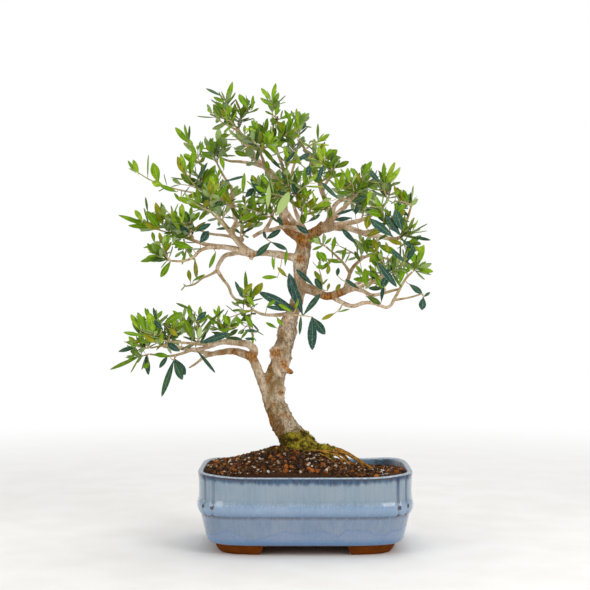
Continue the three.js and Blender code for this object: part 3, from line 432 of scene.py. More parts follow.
world = bpy.data.worlds.new("pale_studio")
world.use_nodes = True
backdrop = world.node_tree.nodes["Background"]
camera_sees = step(world.node_tree, "ShaderNodeLightPath").outputs["Is Camera Ray"]
strength = calc("MULTIPLY_ADD", camera_sees, SKY_SEEN - SKY_LIGHT, SKY_LIGHT)
world.node_tree.links.new(strength, backdrop.inputs["Strength"])
backdrop.inputs["Color"].default_value = (1, 1, 1, 1)
bpy.context.scene.world = world
bpy.context.scene.view_settings.view_transform = "Standard"


def add_light(name, place_mm, target_mm, size_mm, power):
    take()
    bpy.ops.object.light_add(type="AREA", location=Vector(place_mm) * MM)
    lamp = bpy.context.object
    lamp.name = name
    lamp.data.shape = "RECTANGLE"
    lamp.data.size, lamp.data.size_y = size_mm[0] * MM, size_mm[1] * MM
    lamp.data.energy = power
    aim = Vector(target_mm) - Vector(place_mm)
    lamp.rotation_euler = aim.to_track_quat("-Z", "Y").to_euler()
    return lamp


CROWN = (0, 0, 300)
add_light("key_right", (900, -1000, 900), CROWN, (700, 900), 9)
add_light("fill_left", (-1000, -900, 700), CROWN, (600, 900), 5)
add_light("top", (100, 200, 1400), CROWN, (900, 900), 7)

# %% [markdown]
# ## The pot
#
# The pot is pressed stoneware: an oblong with bowed sides, round corners that two grooves flank, a belt
# round the middle and four bare feet. It could be a box with bevelled corners, but its plan is a single
# smooth curve, so one ring is drawn on that curve and then extruded and resized level by level, like a
# potter's wall going up. The ring's points stand closest together at the eight grooves.

# %% The pot's plan
POT = Vector((33, -6, 0))
RIM_HALF_LENGTH, RIM_HALF_DEPTH, RIM_HEIGHT = 104, 77, 76.2
PLAN_POWER = 5
GROOVE_ANGLES = (35, 49)
GROOVE_DEPTH, GROOVE_WIDTH = 1.5, 1.5
FOOT_HEIGHT = 9.6
RIM_RISE = 2


def plan(angles, outset=0):
    """Points on the pot's plan, this far outside the rim line, from the pot's middle."""
    def bend(value):
        return np.sign(value) * np.abs(value) ** (2 / PLAN_POWER)
    return np.stack([(RIM_HALF_LENGTH + outset) * bend(np.cos(angles)),
                     (RIM_HALF_DEPTH + outset) * bend(np.sin(angles))], axis=-1)


def rim_rise(flat, height):
    """The long walls sagged a little in the firing, so the rim stands higher towards the ends."""
    return RIM_RISE * ease(np.abs(flat[:, 0]), 58, 100) * ease(height, 56, 74)


def groove_mask(rows):
    """How far into a groove each place is, from 0 outside to 1 on its middle line."""
    strength = np.zeros(len(rows))
    for angle in GROOVE_ANGLES:
        x, y = plan(np.radians(angle))
        across = np.hypot(np.abs(rows[:, 0]) - x, np.abs(rows[:, 1]) - y)
        strength = np.maximum(strength, np.exp(-(across / GROOVE_WIDTH) ** 2))
    return strength


def ring_angles(count, closer):
    """Angles whose points are evenly spaced round the rim, and closer together at the grooves."""
    angles = np.linspace(0, 2 * np.pi, 40001)
    points = plan(angles)
    strides = np.hypot(*np.diff(points, axis=0).T)
    weight = strides * (1 + closer * (groove_mask(points[1:] * 0.999) > 0.02))
    travelled = np.concatenate([[0], np.cumsum(weight)])
    return np.interp(np.linspace(0, travelled[-1], count, endpoint=False), travelled, angles)


def ring_piece(name, angles, outset, height):
    """A flat ring of points on the pot's plan, filled with one face."""
    take()
    bpy.ops.mesh.primitive_circle_add(vertices=len(angles), radius=MM, fill_type="NGON")
    piece = start(name)
    points = plan(angles, outset)
    rows = np.column_stack([points + POT[:2], np.full(len(angles), height)])
    move_to(piece, rows)
    return piece


def raise_wall(profile):
    """Extrudes the selected face through a profile of heights and outsets, from the profile's first row."""
    for (height, outset), (next_height, next_outset) in zip(profile, profile[1:]):
        rise = (0, 0, (next_height - height) * MM)
        bpy.ops.mesh.extrude_region_move(TRANSFORM_OT_translate={"value": rise})
        grow = ((RIM_HALF_LENGTH + next_outset) / (RIM_HALF_LENGTH + outset),
                (RIM_HALF_DEPTH + next_outset) / (RIM_HALF_DEPTH + outset), 1)
        bpy.ops.transform.resize(value=grow, center_override=POT * MM)


print("pot plan:", 2 * RIM_HALF_LENGTH, "by", 2 * RIM_HALF_DEPTH, "mm")

# %% [markdown]
# The wall's profile goes up the outside, over the rounded lip and down the inside to the floor. The rows
# are closest together where the belt turns and on the lip, because that is where the glaze catches the
# light.

# %% Raise the pot's wall
WALL_PROFILE = [
    (9.6, -13), (10.1, -11.6), (11, -10), (12.4, -8.6), (14.5, -7.4), (18, -6.5), (22, -5.6), (26, -4.7),
    (30, -3.8), (34, -2.9), (36.8, -2.35), (38.2, -2.1), (38.7, -1.6), (39.2, -0.9), (39.9, -0.4),
    (41.2, 0.2), (43, 0.9), (44.6, 1.3), (46, 1.4), (47.6, 1.3), (49.2, 1), (50.6, 0.6), (52, 0.15),
    (53.4, -0.15), (55.2, -0.3), (60, -0.4), (64, -0.35), (68, -0.2), (71, 0), (73, 0.25), (74.2, 0.5),
    (75, 0.5), (75.6, 0.2), (76, -0.35), (76.2, -1.1), (76.2, -2.4), (76.1, -3.4), (75.7, -4.2),
    (75, -4.7), (73.5, -4.9), (69, -5), (62, -5.1), (56, -5.4), (50, -6.2), (40, -7.6), (30, -10.2),
    (22, -12), (19, -12.8), (17, -13.8), (16.2, -15), (16, -17),
]
POT_POINTS = 392
pot = ring_piece("olive_pot", ring_angles(POT_POINTS, 1.8), WALL_PROFILE[0][1], WALL_PROFILE[0][0])
edit_all()
raise_wall(WALL_PROFILE)
edit_done()

rows = places_of(pot)
flat = rows - np.array(POT)
share = flat[:, :2] / (RIM_HALF_LENGTH, RIM_HALF_DEPTH)
slope = np.sign(share) * np.abs(share) ** (PLAN_POWER - 1)
slope /= np.linalg.norm(slope, axis=1)[:, None] + 1e-9
outside = np.zeros(len(rows))
lip_row = [row[0] for row in WALL_PROFILE].index(RIM_HEIGHT)
outside[: POT_POINTS * (lip_row + 1)] = 1
dent = GROOVE_DEPTH * groove_mask(flat) * outside
dent *= ease(rows[:, 2], 10, 15) * (1 - ease(rows[:, 2], 74.6, 76))
wobble = 0.22 * rough(rows, 45, 3, 2) * outside * ease(rows[:, 2], 10, 16)
rows[:, :2] += slope * (wobble - dent)[:, None]
rows[:, 2] += rim_rise(flat, rows[:, 2])
move_to(pot, rows)
outward(pot)
print("pot wall:", len(pot.data.polygons), "faces, deepest groove", round(float(dent.max()), 2), "mm")

# %% [markdown]
# The feet are one moulded ring under the base with a gap cut through it along and across, which leaves four
# chamfered feet. A ring and two cutters with the Boolean modifier give the same clean chamfers as cutting
# clay with a wire. The two drain holes are cut the same way.

# %% Feet and drain holes
FOOT_TAPER = 5
GAP_ACROSS, GAP_DEEP = 39.5, 27
DRAIN_X, DRAIN_RADIUS = 45, 7
FOOT_PROFILE = [(FOOT_HEIGHT + 0.8, -14.4), (4, -17), (1.4, -18.8), (0.5, -19.5), (0, -20.6)]

feet = ring_piece("feet", ring_angles(160, 0), FOOT_PROFILE[0][1], FOOT_PROFILE[0][0])
edit_all()
raise_wall(FOOT_PROFILE)
edit_done()
outward(feet)


def add_wedge(half_x, half_y, taper_x, taper_y):
    """A block with a wider bottom, for cutting a gap with sloping ends."""
    take()
    bpy.ops.mesh.primitive_cube_add(size=2 * MM)
    wedge = start("wedge")
    rows = places_of(wedge)
    low = rows[:, 2] < 0
    rows[:, 0] *= half_x + np.where(low, taper_x, 0)
    rows[:, 1] *= half_y + np.where(low, taper_y, 0)
    rows[:, 2] = np.where(low, -1, FOOT_HEIGHT + 0.3)
    move_to(wedge, rows + np.array(POT))
    return wedge


def cut(piece, cutter, operation="DIFFERENCE"):
    finish_with(piece, "BOOLEAN", object=cutter, operation=operation, solver="EXACT")
    take(cutter)
    bpy.ops.object.delete()


cut(feet, add_wedge(GAP_ACROSS, 200, FOOT_TAPER, 0))
cut(feet, add_wedge(200, GAP_DEEP, 0, FOOT_TAPER))
finish_with(feet, "BEVEL", width=0.5 * MM, segments=2, limit_method="ANGLE", angle_limit=math.radians(35))
cut(pot, feet, "UNION")
for side in (-1, 1):
    take()
    spot = (POT + Vector((side * DRAIN_X, 0, 12))) * MM
    bpy.ops.mesh.primitive_cylinder_add(vertices=40, radius=DRAIN_RADIUS * MM, depth=20 * MM, location=spot)
    bpy.ops.object.transform_apply(location=True)
    cut(pot, start("drill"))

flat = places_of(pot) - np.array(POT)
store(pot, "groove", groove_mask(flat))
store(pot, "rise", rim_rise(flat, flat[:, 2]))
within = (np.abs(flat[:, :2] / (RIM_HALF_LENGTH, RIM_HALF_DEPTH)) ** PLAN_POWER).sum(axis=1)
store(pot, "inside", (1 - ease(within, 0.76, 0.9)) * ease(flat[:, 2], 40, 50))
for face in pot.data.polygons:
    x, y, z = face.center / MM - POT
    drain_wide = DRAIN_RADIUS + 0.2
    in_drain = abs(z - 13) < 3.2 and abs(abs(x) - DRAIN_X) < drain_wide and abs(y) < drain_wide
    face.material_index = 1 if z < 10.4 or in_drain else 0
smooth(pot, 32)
print("pot:", len(pot.data.polygons), "faces")

# %% [markdown]
# ## The glaze
#
# A thick pale blue glaze that was poured and dipped: it runs thin and whitish over the lip, breaks to brown
# and dark blue just under it and on the belt's lower edge, where a thin line of painted shadow also marks the
# belt's overhang, pools dark in the grooves and clear blue at the foot, and shows one wavy run on the lower
# panel. Each of these follows the height on the pot or the stored groove mask, broken up by mottling, so
# nothing looks banded by machine.

# %% The glaze's bands
finish, tree, shader, here = new_finish("blue_glaze", 0.24, coat=0.55, coat_roughness=0.07)
spot = step(tree, "ShaderNodeSeparateXYZ", None, Vector=here).outputs
height = calc("SUBTRACT", times(spot[2], TO_MM), read(tree, "rise"))
drips = mottled(place(tree, (1, 1, 0.1)), 2.2)
clouds = mottled(here, 26, 4, 0.35, 0.65)
grit = mottled(here, 1.1, 3, 0.35, 0.65)
sway = mottled(place(tree, (1, 1, 0.02)), 34, 2, 0.2, 0.8)
ragged = mottled(place(tree, (1, 1, 0.35)), 5, 4, 0.25, 0.75)

from_middle = calc("ABSOLUTE", calc("MULTIPLY_ADD", spot[0], TO_MM, -POT.x))
to_ends = fade(from_middle, 25, 75)
body = mix(clouds, (124, 146, 160), (137, 152, 165))
lower = mix(clouds, (112, 132, 158), (129, 143, 165))
belt = mix(clouds, (126, 154, 184), (141, 164, 192))
panel = mix(fade(height, 37, 39), lower, (104, 134, 170))
colour = mix(fade(height, 38, 44), panel, belt)
colour = mix(fade(calc("ADD", height, times(ragged, 3)), 49, 55), colour, body)
colour = coats(colour, (drips, 0.18, (172, 186, 196)), (grit, 0.22, (112, 134, 160)))
print("glaze bands: body, belt and lower panel")

# %% Runs and freckles
# The run on the lower panel: one wavy edge, bluer and glassier below it.
run_line = calc("ADD", 15, times(sway, 15))
below_run = calc("SUBTRACT", run_line, height)
run = fade(below_run, -0.4, 0.5)
run_edge = times(fade(below_run, -0.9, 0.1), fade(below_run, 2.2, 0.3))
colour = coats(colour, (run, 0.4, (126, 148, 184)), (run_edge, 0.55, (102, 128, 168)))

# Pale freckles along the top of the belt, a clear blue pool at the foot.
belt_top = times(fade(height, 45, 49), fade(height, 55, 50))
snow = freckled(place(tree, (1, 1, 0.8)), 1.5, 0.42, 0.75)
foot_pool = fade(calc("ADD", height, times(ragged, 2.4)), 19, 13.5)
colour = coats(colour, (times(snow, belt_top), 0.3, (204, 216, 228)), (foot_pool, 0.85, (92, 136, 182)))
print("glaze runs, freckles and the pool at the foot")

# %% Breaks, grooves and burnt spots
# The dark break under the lip, the thin line under the belt, partly brown glaze and partly painted shadow of
# the belt's overhang, the grooves and their spots.
rim_fall = calc("SUBTRACT", RIM_HEIGHT, height)
reach = calc("ADD", 5.4, times(ragged, 2.8))
reach = times(reach, fade(to_ends, 0, 1, 1, 0.9))
rim_break = fade(calc("DIVIDE", rim_fall, reach), 1.25, 0.6)
break_tint = mix(drips, (0, 38, 78), (30, 84, 120))
colour = mix(times(rim_break, fade(to_ends, 0, 1, 0.97, 0.9)), colour, break_tint)
brown_line = times(fade(rim_fall, 3.6, 2.2), fade(ragged, 0.1, 0.6, 0.6, 1))
brown_line = times(brown_line, fade(to_ends, 0, 1, 0.35, 0.95))
colour = mix(brown_line, colour, (48, 34, 34))
# Partly painted shadow: a thin dark line where the belt overhangs the lower panel, partly a brownish glaze
# line.
belt_glaze_and_shadow_line = times(fade(height, 35, 37.4), fade(height, 39.6, 38.2))
belt_glaze_and_shadow_line = times(belt_glaze_and_shadow_line, fade(ragged, 0.1, 0.7, 0.5, 1))
colour = coats(colour, (belt_glaze_and_shadow_line, 0.6, (82, 82, 92)))

groove = read(tree, "groove")
above_belt = fade(height, 42, 64, 0.15, 1)
streaks = times(fade(sway, 0.25, 0.7, 0.55, 1), fade(drips, 0, 0.5, 0.7, 1))
pooled = times(times(fade(groove, 0.05, 0.5), above_belt), streaks)
colour = mix(pooled, colour, (8, 44, 96))
below_belt = times(fade(groove, 0.1, 0.8), fade(height, 36, 30))
colour = coats(colour, (below_belt, 0.7, (58, 92, 144)))
shifted = calc("ADD", height, calc("MULTIPLY_ADD", ragged, 2.4, -1.2))
BELT_BURN, EDGE_BURN = 46.8, 37.8
on_belt = fade(calc("ABSOLUTE", calc("SUBTRACT", shifted, BELT_BURN)), 2.3, 1.2)
under_belt = fade(calc("ABSOLUTE", calc("SUBTRACT", shifted, EDGE_BURN)), 2.6, 1.4)
burnt = times(calc("MAXIMUM", on_belt, under_belt), fade(groove, 0.01, 0.12))
colour = coats(colour, (burnt, 0.92, mix(drips, (26, 22, 22), (66, 44, 22))))
print("glaze breaks and", len(GROOVE_ANGLES), "grooves at each corner")

# %% Lining and lip
# Inside, the glaze is pale at the ends and a deep teal at the back, with thin brown runs.
to_back = fade(calc("MULTIPLY_ADD", spot[1], TO_MM, -POT.y), 45, 66)
lining = mix(to_back, (196, 200, 210), mix(clouds, (48, 86, 110), (112, 146, 170)))
lining = coats(lining, (fade(ragged, 0.62, 0.8), 0.5, (104, 84, 78)))
colour = mix(read(tree, "inside"), colour, lining)

# The lip is thin and whitish, and a few pinholes are left by bubbles in the firing.
lip = times(fade(rim_fall, 1.4, 0.8), fade(ragged, 0, 0.6, 0.75, 1))
colour = mix(lip, colour, mix(drips, (178, 196, 212), (146, 160, 176)))
pinholes = freckled(here, 15, 0.055, 0.4)
colour = mix(pinholes, colour, (30, 32, 40))
gloss = calc("ADD", 0.14, times(grit, 0.16))
skin = calc("ADD", clouds, times(drips, 0.12))
skin = calc("ADD", skin, times(run, 0.9))
skin = calc("SUBTRACT", skin, times(pinholes, 0.6))
lay_on(shader, colour, skin, 0.35, gloss)
glaze = finish
print("glaze nodes:", len(tree.nodes))

# %% Bare clay
finish, tree, shader, here = new_finish("bare_clay", 0.85, specular=0.1)
toast = mottled(here, 9)
sand = mottled(here, 0.7, 3)
specks = freckled(here, 2.4, 0.16, 0.5)
colour = mix(toast, (120, 56, 0), (90, 40, 0))
colour = coats(colour, (sand, 0.35, (150, 84, 26)), (specks, 0.7, (54, 28, 10)))
lay_on(shader, colour, calc("ADD", sand, specks), 0.15)
clay = finish

wear(pot, glaze, clay)
settle(pot, "glaze", "pot")

# %% [markdown]
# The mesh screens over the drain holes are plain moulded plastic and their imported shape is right, so they
# stay and only get their finish: black plastic with a faint scuffed sheen.

# %% Drain screens
finish, tree, shader, here = new_finish("screen_plastic", 0.45)
scuff = mottled(here, 3)
rub = calc("ADD", 0.35, times(scuff, 0.25))
lay_on(shader, mix(scuff, (28, 28, 30), (48, 48, 50)), scuff, 0.05, rub)
for name in ("drain_screen_left", "drain_screen_right"):
    wear(frame["nodes"][name], finish)
print("screens finished")

# %% [markdown]
# ## The soil
#
# Bonsai soil is an open mix: dark fine grit, crumbs of orange fired clay, white pumice, blue-black lava and
# bits of bark, heaped up to the trunk. A bed gives the heap its form, made like the pot's wall from one
# ring, and the mix itself is thousands of separate grains that lie half sunk in it, because a bump map
# can't throw the little shadows that make soil look deep.

# %% Soil bed
SOIL_EDGE, MOUND_HEIGHT, MOUND_SPREAD, MOUND_X = -2.2, 22.2, 43, -13
SOIL_DIPS = ((42, 12, 5, 20), (66, 44, 8, 28))
SOIL_HALF_LENGTH, SOIL_HALF_DEPTH = 98.5, 71.5
TRUNK_X, TRUNK_Y, TRUNK_CLEARING = -5, 2, 13


def soil_height(x, y):
    """Height of the soil at a place measured from the pot's middle."""
    def hill(cx, cy, spread):
        return np.exp(-((x - cx) ** 2 + (y - cy) ** 2) / (2 * spread * spread))
    dips = sum(depth * hill(cx, cy, spread) for cx, cy, depth, spread in SOIL_DIPS)
    return RIM_HEIGHT + SOIL_EDGE + MOUND_HEIGHT * hill(MOUND_X, 0, MOUND_SPREAD) - dips


BED_WALL = [(18, -14.4), (19, -13.4), (40, -8), (56, -5.8), (66, -5.4)]
BED_POINTS, BED_RINGS = 176, 36
bed = ring_piece("soil_bed", ring_angles(BED_POINTS, 0), BED_WALL[0][1], BED_WALL[0][0])
edit_all()
raise_wall(BED_WALL)
mound_top = (POT + Vector((MOUND_X, 0, 0))) * MM
for ring in range(BED_RINGS):
    rise = 0 if ring else MM
    bpy.ops.mesh.extrude_region_move(TRANSFORM_OT_translate={"value": (0, 0, rise)})
    if ring:
        left = max(1 - (ring + 1) / BED_RINGS, 0.004)
        closer = left / (1 - ring / BED_RINGS)
        bpy.ops.transform.resize(value=(closer, closer, 1), center_override=mound_top)
edit_done()
rows = places_of(bed)
flat = rows - np.array(POT)
top = rows[:, 2] > BED_WALL[-1][0] + 0.5
lumps = 1.1 * rough(rows, 7, 1) + 0.5 * rough(rows, 2.4, 5)
rows[top, 2] = (soil_height(flat[:, 0], flat[:, 1]) + lumps)[top]
move_to(bed, rows)
outward(bed)
smooth(bed)
print("soil bed:", len(bed.data.polygons), "faces, top at", round(float(rows[:, 2].max()), 1), "mm")

# %% [markdown]
# ### Grains
#
# A grain is a small ball knocked out of round. A few of each kind are modelled, then copied with a new
# turn, size and place each time, so that no two lie alike. Each copy has its own mesh inside the piece.


# %% Model a few grains
KNOCK = 0.34  # how far a grain is from round


def knocked_ball(subdivisions, flatness, seed):
    """A ball of about 1 mm radius, knocked out of round and flattened."""
    take()
    bpy.ops.mesh.primitive_ico_sphere_add(subdivisions=subdivisions, radius=MM)
    piece = start("grain")
    rows = places_of(piece)
    rows *= (1 + KNOCK * rough(rows, 1.1, seed, 2))[:, None]
    rows[:, 2] *= flatness
    move_to(piece, rows)
    return piece


def form_of(piece):
    """The finished form as plain rows and faces, and the modelled piece is put away."""
    form = (places_of(piece), [tuple(face.vertices) for face in piece.data.polygons],
            [face.material_index for face in piece.data.polygons])
    take(piece)
    bpy.ops.object.delete()
    return form


crumbs = [form_of(knocked_ball(1, 0.8, seed)) for seed in (1.3, 4.1, 7.7, 9.2)]
pebbles = [form_of(knocked_ball(2, 0.72, seed)) for seed in (2.1, 5.3, 8.9)]
knocked = [form_of(knocked_ball(1, 0.6, seed)) for seed in (3.2, 6.4, 11.5)]
print("grain forms:", len(crumbs) + len(pebbles) + len(knocked))


# %% Copy and scatter them
def turned(draw, lean=math.pi):
    """A random turn as a matrix. A small lean keeps the form's top side up."""
    turn = Quaternion((0, 0, 1), draw.uniform(-math.pi, math.pi))
    axis = Vector((draw.uniform(-1, 1), draw.uniform(-1, 1), 0.01)).normalized()
    return np.array((Quaternion(axis, draw.uniform(0, lean)) @ turn).to_matrix())


def copies_of(name, forms, spots, sizes, draw, lean=math.pi, ways=None):
    """One piece from copies of the forms, each with its own size and turn, up or along its own way out."""
    rows, faces, luck = [], [], []
    count = 0
    for which, (spot, size) in enumerate(zip(spots, sizes)):
        form, form_faces, _ = forms[which % len(forms)]
        turn = turned(draw, lean)
        if ways is not None:
            turn = np.array(Vector(ways[which]).to_track_quat("Z", "Y").to_matrix()) @ turn
        rows.append(form @ turn.T * size + spot)
        faces.extend(tuple(corner + count for corner in face) for face in form_faces)
        luck.append(np.full(len(form), draw.uniform()))
        count += len(form)
    mesh = bpy.data.meshes.new(name)
    mesh.from_pydata((np.concatenate(rows) * MM).tolist(), [], faces)
    piece = bpy.data.objects.new(name, mesh)
    bpy.context.collection.objects.link(piece)
    store(piece, "luck", np.concatenate(luck))
    return piece


def soil_spots(draw, count, margin):
    """Places on the soil, this far inside the wall and clear of the trunk, measured from the pot's middle."""
    found = []
    while len(found) < count:
        x, y = draw.uniform(-1, 1) * 99, draw.uniform(-1, 1) * 72
        over_x, over_y = abs(x) / (SOIL_HALF_LENGTH - margin), abs(y) / (SOIL_HALF_DEPTH - margin)
        clear = math.hypot(x - TRUNK_X, y - TRUNK_Y) > TRUNK_CLEARING
        if over_x ** PLAN_POWER + over_y ** PLAN_POWER < 1 and clear:
            found.append((x, y))
    return np.array(found)


def scatter_soil(name, forms, count, sizes, sink, seed, lean=math.pi):
    """Scatters grains on the soil. Sink is how much of a grain's size lies under the surface."""
    draw = np.random.RandomState(seed)
    spread = sizes[0] + (sizes[1] - sizes[0]) * draw.uniform(size=count) ** 2
    spots = soil_spots(draw, count, sizes[1])
    height = soil_height(spots[:, 0], spots[:, 1]) + spread * (1 - 2 * sink) + draw.uniform(-0.5, 0.7, count)
    full = np.column_stack([spots, height]) + np.array(POT)
    return copies_of(name, forms, full, spread, draw, lean)


print("top of the mound:", round(float(soil_height(MOUND_X, 0)), 1), "mm")

# %% [markdown]
# ### Finishes of the grains
#
# Each kind of grain has one finish, whose colour shifts from grain to grain by the luck value that is
# stored on every copy.


# %% Grain finishes
def grain_finish(name, dull, mid, bright, size, depth, roughness=0.9):
    finish, tree, shader, here = new_finish(name, roughness, specular=0.25)
    pits = mottled(here, size)
    dust = freckled(here, size * 1.5, 0.3, 0.4)
    colour = ramp(read(tree, "luck"), (0, dull), (0.55, mid), (1, bright))
    colour = coats(colour, (pits, 0.5, dull), (dust, 0.35, bright))
    lay_on(shader, colour, pits, depth)
    return finish


dark_grit = grain_finish("dark_grit", (38, 20, 8), (78, 46, 20), (140, 94, 46), 1.2, 0.4)
orange_clay = grain_finish("orange_clay", (104, 50, 14), (158, 86, 26), (200, 126, 52), 1.6, 0.4)
white_pumice = grain_finish("white_pumice", (168, 150, 124), (218, 204, 184), (244, 238, 226), 0.9, 0.5)
blue_lava = grain_finish("blue_lava", (16, 20, 30), (30, 40, 58), (66, 80, 98), 1.2, 0.4, 0.7)
bark_bits = grain_finish("bark_bits", (66, 36, 14), (128, 80, 34), (182, 132, 72), 1.5, 0.3)
wear(bed, dark_grit)
store(bed, "luck", np.full(len(bed.data.vertices), 0.35))
settle(bed, "soil", "soil")

# %% Scatter the mix
MIX = (
    ("grit_fine", crumbs, 5600, (0.55, 1.7), 0.25, 31, dark_grit),
    ("grit_coarse", crumbs, 1300, (1.2, 2.6), 0.35, 32, dark_grit),
    ("clay_crumbs", pebbles, 330, (0.8, 3.1), 0.35, 33, orange_clay),
    ("pumice", knocked, 560, (0.5, 2.1), 0.25, 34, white_pumice),
    ("lava", crumbs, 330, (0.7, 2.1), 0.3, 35, blue_lava),
)
for name, forms, count, sizes, sink, seed, finish in MIX:
    piece = scatter_soil(name, forms, count, sizes, sink, seed)
    smooth(piece, 40)
    wear(piece, finish)
    settle(piece, "soil")

# %% [markdown]
# Slivers of bark lie flat among the grains. One is a cube that is stretched and pinched at its ends.

# %% Bark slivers
take()
bpy.ops.mesh.primitive_cube_add(size=2 * MM)
sliver = start("sliver")
edit_all()
bpy.ops.transform.resize(value=(3, 0.7, 0.32))
bpy.ops.mesh.subdivide(number_cuts=1)
pick_faces(sliver, lambda middle: abs(middle.x) > 2.9)
bpy.ops.transform.resize(value=(1, 0.4, 0.5))
edit_done()
slivers = [form_of(sliver)]
piece = scatter_soil("bark_slivers", slivers, 760, (0.4, 1.15), 0.1, 36, lean=0.6)
wear(piece, bark_bits)
settle(piece, "soil")

# %% [markdown]
# ## The tree's routes
#
# The wood is described as routes: points along each limb and its thickness there. They are drawn on the
# front elevation, x from the pot's middle and z from the table, as an eye sees them from where the camera
# stands, with y for how far behind the pot's middle they lie. A route is how a bonsai grower thinks of a
# tree, too: where the trunk line bends, and what leaves it where.

# %% Trunk, branches, roots and stubs
# x, z, y, radius
TRUNK = [
    [-4, 60, 2, 17], [-5, 80, 2, 21], [-6, 92, 2, 20], [-9, 101, 2, 15.5], [-15, 110, 1, 12.5],
    [-22, 120, 0, 12.2], [-26.5, 131, 0, 11], [-31, 141, 1, 10.4], [-32, 151, 2, 12], [-31, 161, 2, 10.8],
    [-28.5, 171, 1, 9.7], [-24.4, 181, 0, 9.6], [-22.9, 191, 0, 9.9], [-19.7, 201, -1, 8.8],
    [-18, 211, -2, 9.6], [-16, 221, -2, 8.2], [-12.5, 230, -2, 6.7], [-8.5, 242, -1, 6.6],
    [-6, 252, 0, 6.2], [-5, 262, 0, 6.1], [-5, 272, 0, 6.6], [-4, 281, 0, 8], [-2.5, 288, 0, 8.2],
    [-1.5, 297, 0, 6.7], [-1, 306, 0, 8.4],
]
